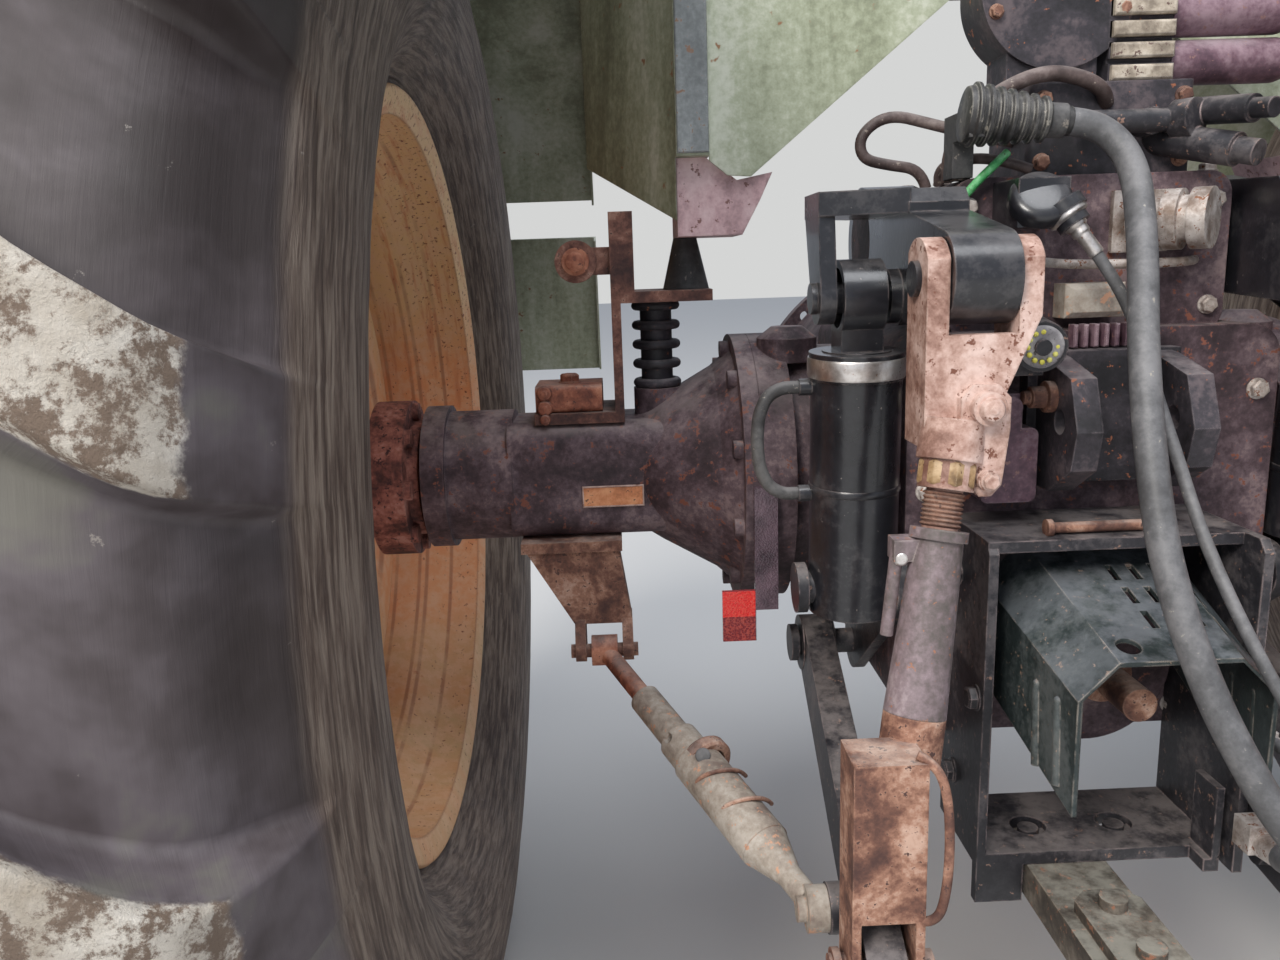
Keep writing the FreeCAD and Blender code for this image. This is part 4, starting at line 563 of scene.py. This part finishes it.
def turn(bm, at, axis, profile, sides=28, ring=False):
    """Adds a turned form; its profile gives the distance along the axis and the radius, in mm."""
    axis, u, v = around(axis)
    rows = []
    for along, radius in profile:
        row = []
        for i in range(sides):
            a = 2 * math.pi * i / sides
            row.append(bm.verts.new(axle(*(Vector(at) + axis * along + (u * math.cos(a) + v * math.sin(a)) * radius))))
        rows.append(row)
    for low, high in list(zip(rows, rows[1:])) + ([(rows[-1], rows[0])] if ring else []):
        for i in range(sides):
            j = (i + 1) % sides
            bm.faces.new((low[i], low[j], high[j], high[i]))
    if not ring:
        bm.faces.new(rows[0][::-1])
        bm.faces.new(rows[-1])


def hex_bolt(bm, at, axis, size):
    """Washer and chamfered hexagon head, size across the corners."""
    r = size / 2
    turn(bm, at, axis, [(-1, r * 1.15), (1.6, r * 1.15), (2.2, r * 1.05)], 24)
    turn(bm, at, axis, [(2, r * 0.9), (2.4, r), (2 + r * 0.62, r), (2 + r * 0.78, r * 0.82)], 6)


def round_bolt(bm, at, axis, r):
    turn(bm, at, axis, [(-1, r), (r * 0.45, r), (r * 0.75, r * 0.82), (r * 0.86, r * 0.5)], 20)
    turn(bm, at, axis, [(r * 0.8, r * 0.42), (r * 0.88, r * 0.36)], 6)


def block(bm, low, high, cut):
    """Box with its rear edges cut back by a chamfer."""
    (x0, y0, z0), (x1, y1, z1) = low, high
    back = [(x0, y1, z0), (x1, y1, z0), (x1, y1, z1), (x0, y1, z1)]
    waist = [(x, y0 + cut, z) for x, y, z in back]
    front = [(x0 + cut, y0, z0 + cut), (x1 - cut, y0, z0 + cut), (x1 - cut, y0, z1 - cut), (x0 + cut, y0, z1 - cut)]
    rows = [[bm.verts.new(axle(*p)) for p in row] for row in (back, waist, front)]
    for a, b in zip(rows, rows[1:]):
        for i in range(4):
            j = (i + 1) % 4
            bm.faces.new((a[i], a[j], b[j], b[i]))
    bm.faces.new(rows[0][::-1])
    bm.faces.new(rows[-1])


def piece(name, fill, body, finish):
    """Makes one object from what fill adds to an empty mesh."""
    bm = bmesh.new()
    fill(bm)
    bmesh.ops.recalc_face_normals(bm, faces=bm.faces)
    mesh = bpy.data.meshes.new(name)
    bm.to_mesh(mesh)
    bm.free()
    mesh.shade_smooth()
    mesh.set_sharp_from_angle(angle=math.radians(38))
    mesh.materials.append(FINISH[finish])
    obj = bpy.data.objects.new(name, mesh)
    bpy.context.scene.collection.objects.link(obj)
    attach(obj, body)
    return obj


def pipe(name, points, radius, body, finish):
    """Bent pipe or wire on a smooth line through its control points."""
    data = bpy.data.curves.new(name, "CURVE")
    data.dimensions = "3D"
    spline = data.splines.new("NURBS")
    spline.points.add(len(points) - 1)
    for p, at in zip(spline.points, points):
        p.co = (*axle(*at), 1)
    spline.order_u = 3
    spline.use_endpoint_u = True
    spline.resolution_u = 6
    data.bevel_depth = radius / 1000
    data.bevel_resolution = 4
    data.use_fill_caps = True
    data.materials.append(FINISH[finish])
    obj = bpy.data.objects.new(name, data)
    bpy.context.scene.collection.objects.link(obj)
    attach(obj, body)


def lathe(name, at, axis, profile, body, finish, sides=28, ring=False):
    piece(name, lambda bm: turn(bm, at, axis, profile, sides, ring), body, finish)


def along(a, b):
    """Function giving the point a distance in mm from a towards b, and the direction."""
    a, b = Vector(a), Vector(b)
    way = (b - a).normalized()
    return (lambda s: a + way * s), way


BOOT_START = Vector((-50, -298, 400))
BOOT_BACK = Vector((-20, 1, 2)).normalized()


def boot_profile():
    """Ridges that grow from the hose towards the port."""
    profile = [(-6, 14.5), (10, 15.5), (16, 17)]
    for i in range(7):
        s = 18 + i * 11.5
        r = 18.5 + i * 1.5
        profile += [(s, r), (s + 2, r + 4), (s + 5.5, r + 4.2), (s + 7.5, r + 0.8)]
    return profile + [(100, 27), (102, 20)]


def dress_linkage(side):
    """Details on one side's cylinder, lift rod and stabiliser; side is -1 on the left."""
    tail = "_left" if side < 0 else "_right"
    barrel, up = along((side * 257, -285, -85), (side * 257, -300, 232))
    lathe("gland_band" + tail, barrel(0), up, [(236, 49), (236, 50.8), (238, 51.6), (255, 51.6), (257, 50.8), (257, 49)],
          "cylinder_barrel" + tail, "steel", 40, True)
    lathe("barrel_weld" + tail, barrel(0), up, [(112, 47), (112, 48.4), (114, 49.6), (118, 49.6), (120, 48.4), (120, 47)],
          "cylinder_barrel" + tail, "gloss_black", 40, True)
    screw, down = along((side * 187, -443, 252), (side * 291.7, -560, -357))
    thread = [(193, 15)] + [(s + k, r) for s in range(194, 226, 4) for k, r in ((0, 16), (1.4, 18.2), (2.4, 18.2))] + [(227, 15)]
    lathe("lift_thread" + tail, screw(0), down, thread, "lift_rod" + tail, "rust")
    lathe("lift_collar" + tail, screw(0), down, [(167, 24), (167, 25.6), (169, 26.8), (187, 26.8), (189, 25.6), (189, 24)],
          "lift_rod" + tail, "ochre", 8, True)
    x = side * 254
    pipe("wire_handle" + tail, [(side * 268, -578, -140), (x, -584, -146), (side * 246, -592, -168), (side * 243, -594, -215),
                                (side * 245, -594, -262), (side * 251, -590, -292), (side * 262, -582, -296)], 4.2,
         "lift_rod" + tail, "rust")
    piece("lock_bolts" + tail, lambda bm: (round_bolt(bm, (side * 187, -499, 140), (0, -1, 0), 11),
                                          hex_bolt(bm, (side * 185, -497, 76), (0, -1, 0), 15)),
          "lift_rod" + tail, "pink_rust")
    lathe("lever_bolt" + tail, (side * 262, -491, 8), (0, -1, 0), [(-4, 7), (5, 7), (7, 5)], "lift_rod" + tail,
          "steel", 16)
    bar, run = along((side * 540, -100, -222), (side * 320, -497, -338))
    lathe("sway_ring" + tail, bar(0), run, [(232, 22), (232, 29), (235, 31.5), (246, 31.5), (249, 29), (249, 22)],
          "lower_link" + tail, "rust", 32, True)
    lathe("sway_hole" + tail, bar(241) + Vector((side * 4, -24, 20)), (side * 0.1, -0.8, 0.62), [(-2, 8.5), (3.4, 8.5), (3.8, 7)],
          "lower_link" + tail, "rubber", 20)
    for k, s in enumerate((268, 316)):
        at = bar(s)
        pipe("sway_clip_%d%s" % (k + 1, tail), [at + Vector((side * 26, -12, -14)), at + Vector((side * 30, -22, 8)),
             at + Vector((side * 6, -30, 24)), at + Vector((side * -22, -22, 20)), at + Vector((side * -30, -4, 2))], 2.4,
             "lower_link" + tail, "rust")


def wheel_nuts(bm, side):
    face = side * 914.3
    for i in range(10):
        a = 2 * math.pi * i / 10
        at = (face, 137.5 * math.cos(a), 137.5 * math.sin(a))
        hex_bolt(bm, at, (side, 0, 0), 32)
        turn(bm, at, (side, 0, 0), [(10, 9), (22, 9), (24, 7)], 16)


def hub_cap(bm, side):
    turn(bm, (side * 914, 0, 0), (side, 0, 0), [(-2, 87), (29, 87), (33, 83), (34, 60), (44, 56), (47, 50), (48, 10)], 48)


def dress_wheel(side):
    tail = "left" if side < 0 else "right"
    piece("wheel_nuts_" + tail, lambda bm: wheel_nuts(bm, side), "wheel_" + tail, "rust")
    piece("hub_cap_" + tail, lambda bm: hub_cap(bm, side), "wheel_" + tail, "hub")


def case_bolts(bm):
    for side in (-1, 1):
        for y in (-240, -180, -40, 40):
            hex_bolt(bm, (side * 134, y, 350), (0, 0, 1), 18)
        for y, z in ((-250, 210), (-250, 320)):
            hex_bolt(bm, (side * 132, -262, z), (0, -1, 0), 18)
        for y, z in ((-60, -330), (-200, -330)):
            hex_bolt(bm, (side * 60, y, -262), (0, 0, -1), 18)
    for x, z in ((-178, 120), (-178, 20), (-178, -120), (178, 120), (178, -120), (-110, -240), (110, -240)):
        hex_bolt(bm, (x, -290, z), (0, -1, 0), 20)


def clamp_bolts(bm):
    for side in (-1, 1):
        for z in (97, 116):
            round_bolt(bm, (side * 604, -66, z), (0, -1, 0), 10)
        round_bolt(bm, (side * 604, -70, 82), (0, -1, 0), 7)
        hex_bolt(bm, (side * 573, -18, 123), (0, 0, 1), 26)
        turn(bm, (side * 556, -80, 279), (0, -1, 0), [(-2, 17), (5, 17), (5, 12), (12, 12), (14, 9)], 24)


def valve_bolts(bm):
    for x, z in ((-46, 366), (104, 366), (-46, 430), (104, 430)):
        hex_bolt(bm, (x, -236, z), (0, -1, 0), 16)
    for a in (20, 70, 110, 160, 200, 340):
        at = (-16 + 74 * math.cos(math.radians(a)), -196, 552 + 74 * math.sin(math.radians(a)))
        hex_bolt(bm, at, (0, -1, 0), 14)


def fins(bm):
    for i in range(7):
        x = -30 + i * 11
        block(bm, (x, -304, 172), (x + 5, -289, 196), 1.5)


def frame_bolts(bm):
    for y, z in ((-330, -60), (-330, -290), (-395, -175)):
        hex_bolt(bm, (-152, y, z), (-1, 0, 0), 24)
        hex_bolt(bm, (126, y, z), (1, 0, 0), 24)


def plate_frame(bm):
    """Blank plate with a raised border on the axle housing."""
    turn(bm, (-521, -80.5, -19), (0, -1, 0), [(0, 0.1), (0.1, 0.2)], 4)
    for low, high in (((-561, -83, -33), (-481, -80, -31)), ((-561, -83, -7), (-481, -80, -5)),
                      ((-561, -83, -31), (-559, -80, -7)), ((-483, -83, -31), (-481, -80, -7))):
        block(bm, low, high, 0.6)


def dress_body():
    lathe("ridged_boot", BOOT_START, BOOT_BACK, boot_profile(), "root", "ridged", 40)
    piece("housing_plate", lambda bm: block(bm, (-560, -82, -32), (-482, -80, -6), 0.4), "root", "orange")
    piece("plate_border", plate_frame, "root", "pink_rust")
    piece("case_bolts", case_bolts, "root", "old_steel")
    piece("clamp_bolts", clamp_bolts, "root", "orange_rust")
    piece("valve_bolts", valve_bolts, "root", "rust")
    piece("frame_bolts", frame_bolts, "root", "black")
    piece("cooling_fins", fins, "root", "purple")
    piece("beige_fins", lambda bm: [block(bm, (42, -203, z), (110, -195, z + 16), 2) for z in (452, 475, 497, 519)],
          "root", "beige")
    for side in (-1, 1):
        tail = "_left" if side < 0 else "_right"
        low, high = sorted((side * 391, side * 429))
        piece("post_cover" + tail, lambda bm: block(bm, (low, -113, 400), (high, -109, 759), 1.5), "root",
              "post_blue")
    piece("pale_block", lambda bm: block(bm, (-36, -296, 202), (28, -262, 238), 6), "root", "grey_tube")
    pipe("flange_edge", [(-58, -266, 262), (-48, -284, 259), (-10, -292, 257), (60, -292, 256), (102, -284, 257),
                         (112, -266, 258)], 5, "root", "old_steel")
    pipe("brake_pipe_loop", [(-58, -190, 392), (-90, -160, 404), (-130, -122, 422), (-180, -118, 436), (-214, -118, 414),
                             (-212, -118, 386), (-180, -118, 378), (-140, -118, 372), (-134, -118, 350)], 6.5, "root",
         "brown_hose")
    pipe("brake_pipe_arch", [(-142, -225, 350), (-146, -232, 376), (-130, -243, 412), (-96, -248, 440), (-50, -250, 456),
                             (-8, -249, 448), (16, -246, 434), (22, -234, 424)], 8, "root", "brown_hose")
    pipe("brake_pipe_low", [(-144, -200, 348), (-150, -205, 366), (-128, -250, 372), (-96, -268, 366), (-70, -270, 356)],
         5.5, "root", "brown_hose")
    pipe("green_tag", [(-140, -270, 330), (-128, -274, 345), (-112, -276, 360), (-96, -272, 374)], 4.5, "root",
         "tag_green")
    sleeve, way = along((-50, -338, 296), (-40, -345, 280))
    lathe("cable_sleeve", sleeve(-6), way, [(-16, 20), (-4, 20), (-2, 17), (0, 12), (8, 11), (10, 9), (16, 9), (18, 7.4), (40, 7.4), (42, 6.4)], "root",
          "steel", 24)
    lathe("sensor_cap", (-82, -326, 322), (-0.1, -0.8, 0.6), [(-6, 31), (4, 31), (8, 29.5), (11, 25), (12, 16), (12.4, 5)],
          "root", "gloss_black", 40)
    lathe("knob_face", (-98, -386, 182), (-0.12, -1, -0.1), [(-1, 21), (1, 21), (1.6, 19), (1.6, 8)], "root",
          "cap_grey", 36)
    piece("knob_ring", lambda bm: [turn(bm, Vector((-98, -387, 182)) + Vector((math.cos(a), 0, math.sin(a))) * 14.5,
          (-0.12, -1, -0.1), [(0, 2.6), (2, 2.6), (2.4, 1.8)], 10) for a in (k * math.pi / 6 for k in range(12))],
          "root", "yellow")
    lathe("frame_pin", (-82, -392, 2), (1, 0, 0), [(-6, 9), (0, 9), (1, 5.5), (92, 5.5), (94, 3)], "root",
          "rust", 20)
    lathe("stepped_pin", (-69, -350, 128), (-1, 0, 0), [(-2, 16), (9, 16), (10, 11), (24, 11), (25, 7), (31, 7), (32, 5)],
          "root", "rust", 28)
    lathe("cheek_pin", (69, -350, 128), (1, 0, 0), [(-2, 10), (14, 10), (16, 8)], "root", "pink_rust", 24)


for side in (-1, 1):
    dress_linkage(side)
    dress_wheel(side)
dress_body()


# Wheel rims, turned, with the folds and flanges that the photo shows
RIM_PROFILE = [(255, 498), (255, 489), (246, 466), (199, 462), (197, 461), (160, 440), (149, 436), (-60, 436), (-90, 437),
               (-110, 440), (-160, 461), (-195, 463), (-246, 466), (-255, 489), (-255, 498), (-251, 501), (-246, 497),
               (-244, 476), (-198, 472), (-110, 447), (149, 445), (162, 449), (199, 471), (244, 476), (246, 497),
               (251, 501)]
DISC_PROFILE = [(900, 90), (900, 190), (926, 235), (926, 300), (908, 330), (908, 385), (946, 412), (952, 437), (966, 437),
                (960, 404), (922, 393), (922, 336), (940, 306), (940, 229), (914, 184), (914, 90)]


def rim_form(bm, side):
    centre = side * HALF_TRACK * 1000
    turn(bm, (centre, 0, 0), (-side, 0, 0), RIM_PROFILE, 144, True)
    turn(bm, (0, 0, 0), (side, 0, 0), DISC_PROFILE, 144, True)
    for i in range(10):
        a = 2 * math.pi * i / 10
        at = (side * 899.5, 137.5 * math.cos(a), 137.5 * math.sin(a))
        turn(bm, at, (-side, 0, 0), [(-1, 15), (5, 15), (6, 13)], 20)


def make_rim(side):
    tail = "left" if side < 0 else "right"
    obj = piece("wheel_rim_" + tail, lambda bm: rim_form(bm, side), "wheel_" + tail, "rim")
    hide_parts("rim_" + tail)


for side in (-1, 1):
    make_rim(side)


# Surroundings
def make_floor():
    mesh = bpy.data.meshes.new("floor")
    z = -0.872
    size = 30
    mesh.from_pydata([(-size, -size, z), (size, -size, z), (size, size, z), (-size, size, z)], [], [(0, 1, 2, 3)])
    obj = bpy.data.objects.new("floor", mesh)
    bpy.context.scene.collection.objects.link(obj)
    mat = bpy.data.materials.new("floor_paint")
    mat.use_nodes = True
    shader = mat.node_tree.nodes["Principled BSDF"]
    shader.inputs["Base Color"].default_value = (0.62, 0.61, 0.59, 1)
    shader.inputs["Roughness"].default_value = 0.9
    mesh.materials.append(mat)


def area_light(name, at, aim, size, power, colour):
    data = bpy.data.lights.new(name, "AREA")
    data.shape = "DISK"
    data.size = size
    data.energy = power
    data.color = colour
    obj = bpy.data.objects.new(name, data)
    bpy.context.scene.collection.objects.link(obj)
    obj.location = at
    obj.rotation_euler = (Vector(aim) - Vector(at)).to_track_quat("-Z", "Y").to_euler()


def make_lights():
    world = bpy.data.worlds.new("studio")
    world.use_nodes = True
    back = world.node_tree.nodes["Background"]
    back.inputs["Color"].default_value = (0.80, 0.87, 1.0, 1)
    back.inputs["Strength"].default_value = 0.60
    tree = world.node_tree
    seen = tree.nodes.new("ShaderNodeBackground")
    seen.inputs["Color"].default_value = (0.66, 0.665, 0.66, 1)
    pick = tree.nodes.new("ShaderNodeMixShader")
    tree.links.new(tree.nodes.new("ShaderNodeLightPath").outputs["Is Camera Ray"], pick.inputs[0])
    tree.links.new(back.outputs[0], pick.inputs[1])
    tree.links.new(seen.outputs[0], pick.inputs[2])
    tree.links.new(pick.outputs[0], tree.nodes["World Output"].inputs[0])
    bpy.context.scene.world = world
    area_light("key", (-6.6, -9.5, 8.4), (-0.4, -0.5, 0), 5.0, 1540, (1, 0.96, 0.9))
    area_light("top", (0.8, -4.6, 9.0), (-0.2, -0.6, 0), 6.0, 520, (0.95, 0.97, 1))


make_floor()
make_lights()
bpy.context.scene.view_settings.view_transform = "Standard"
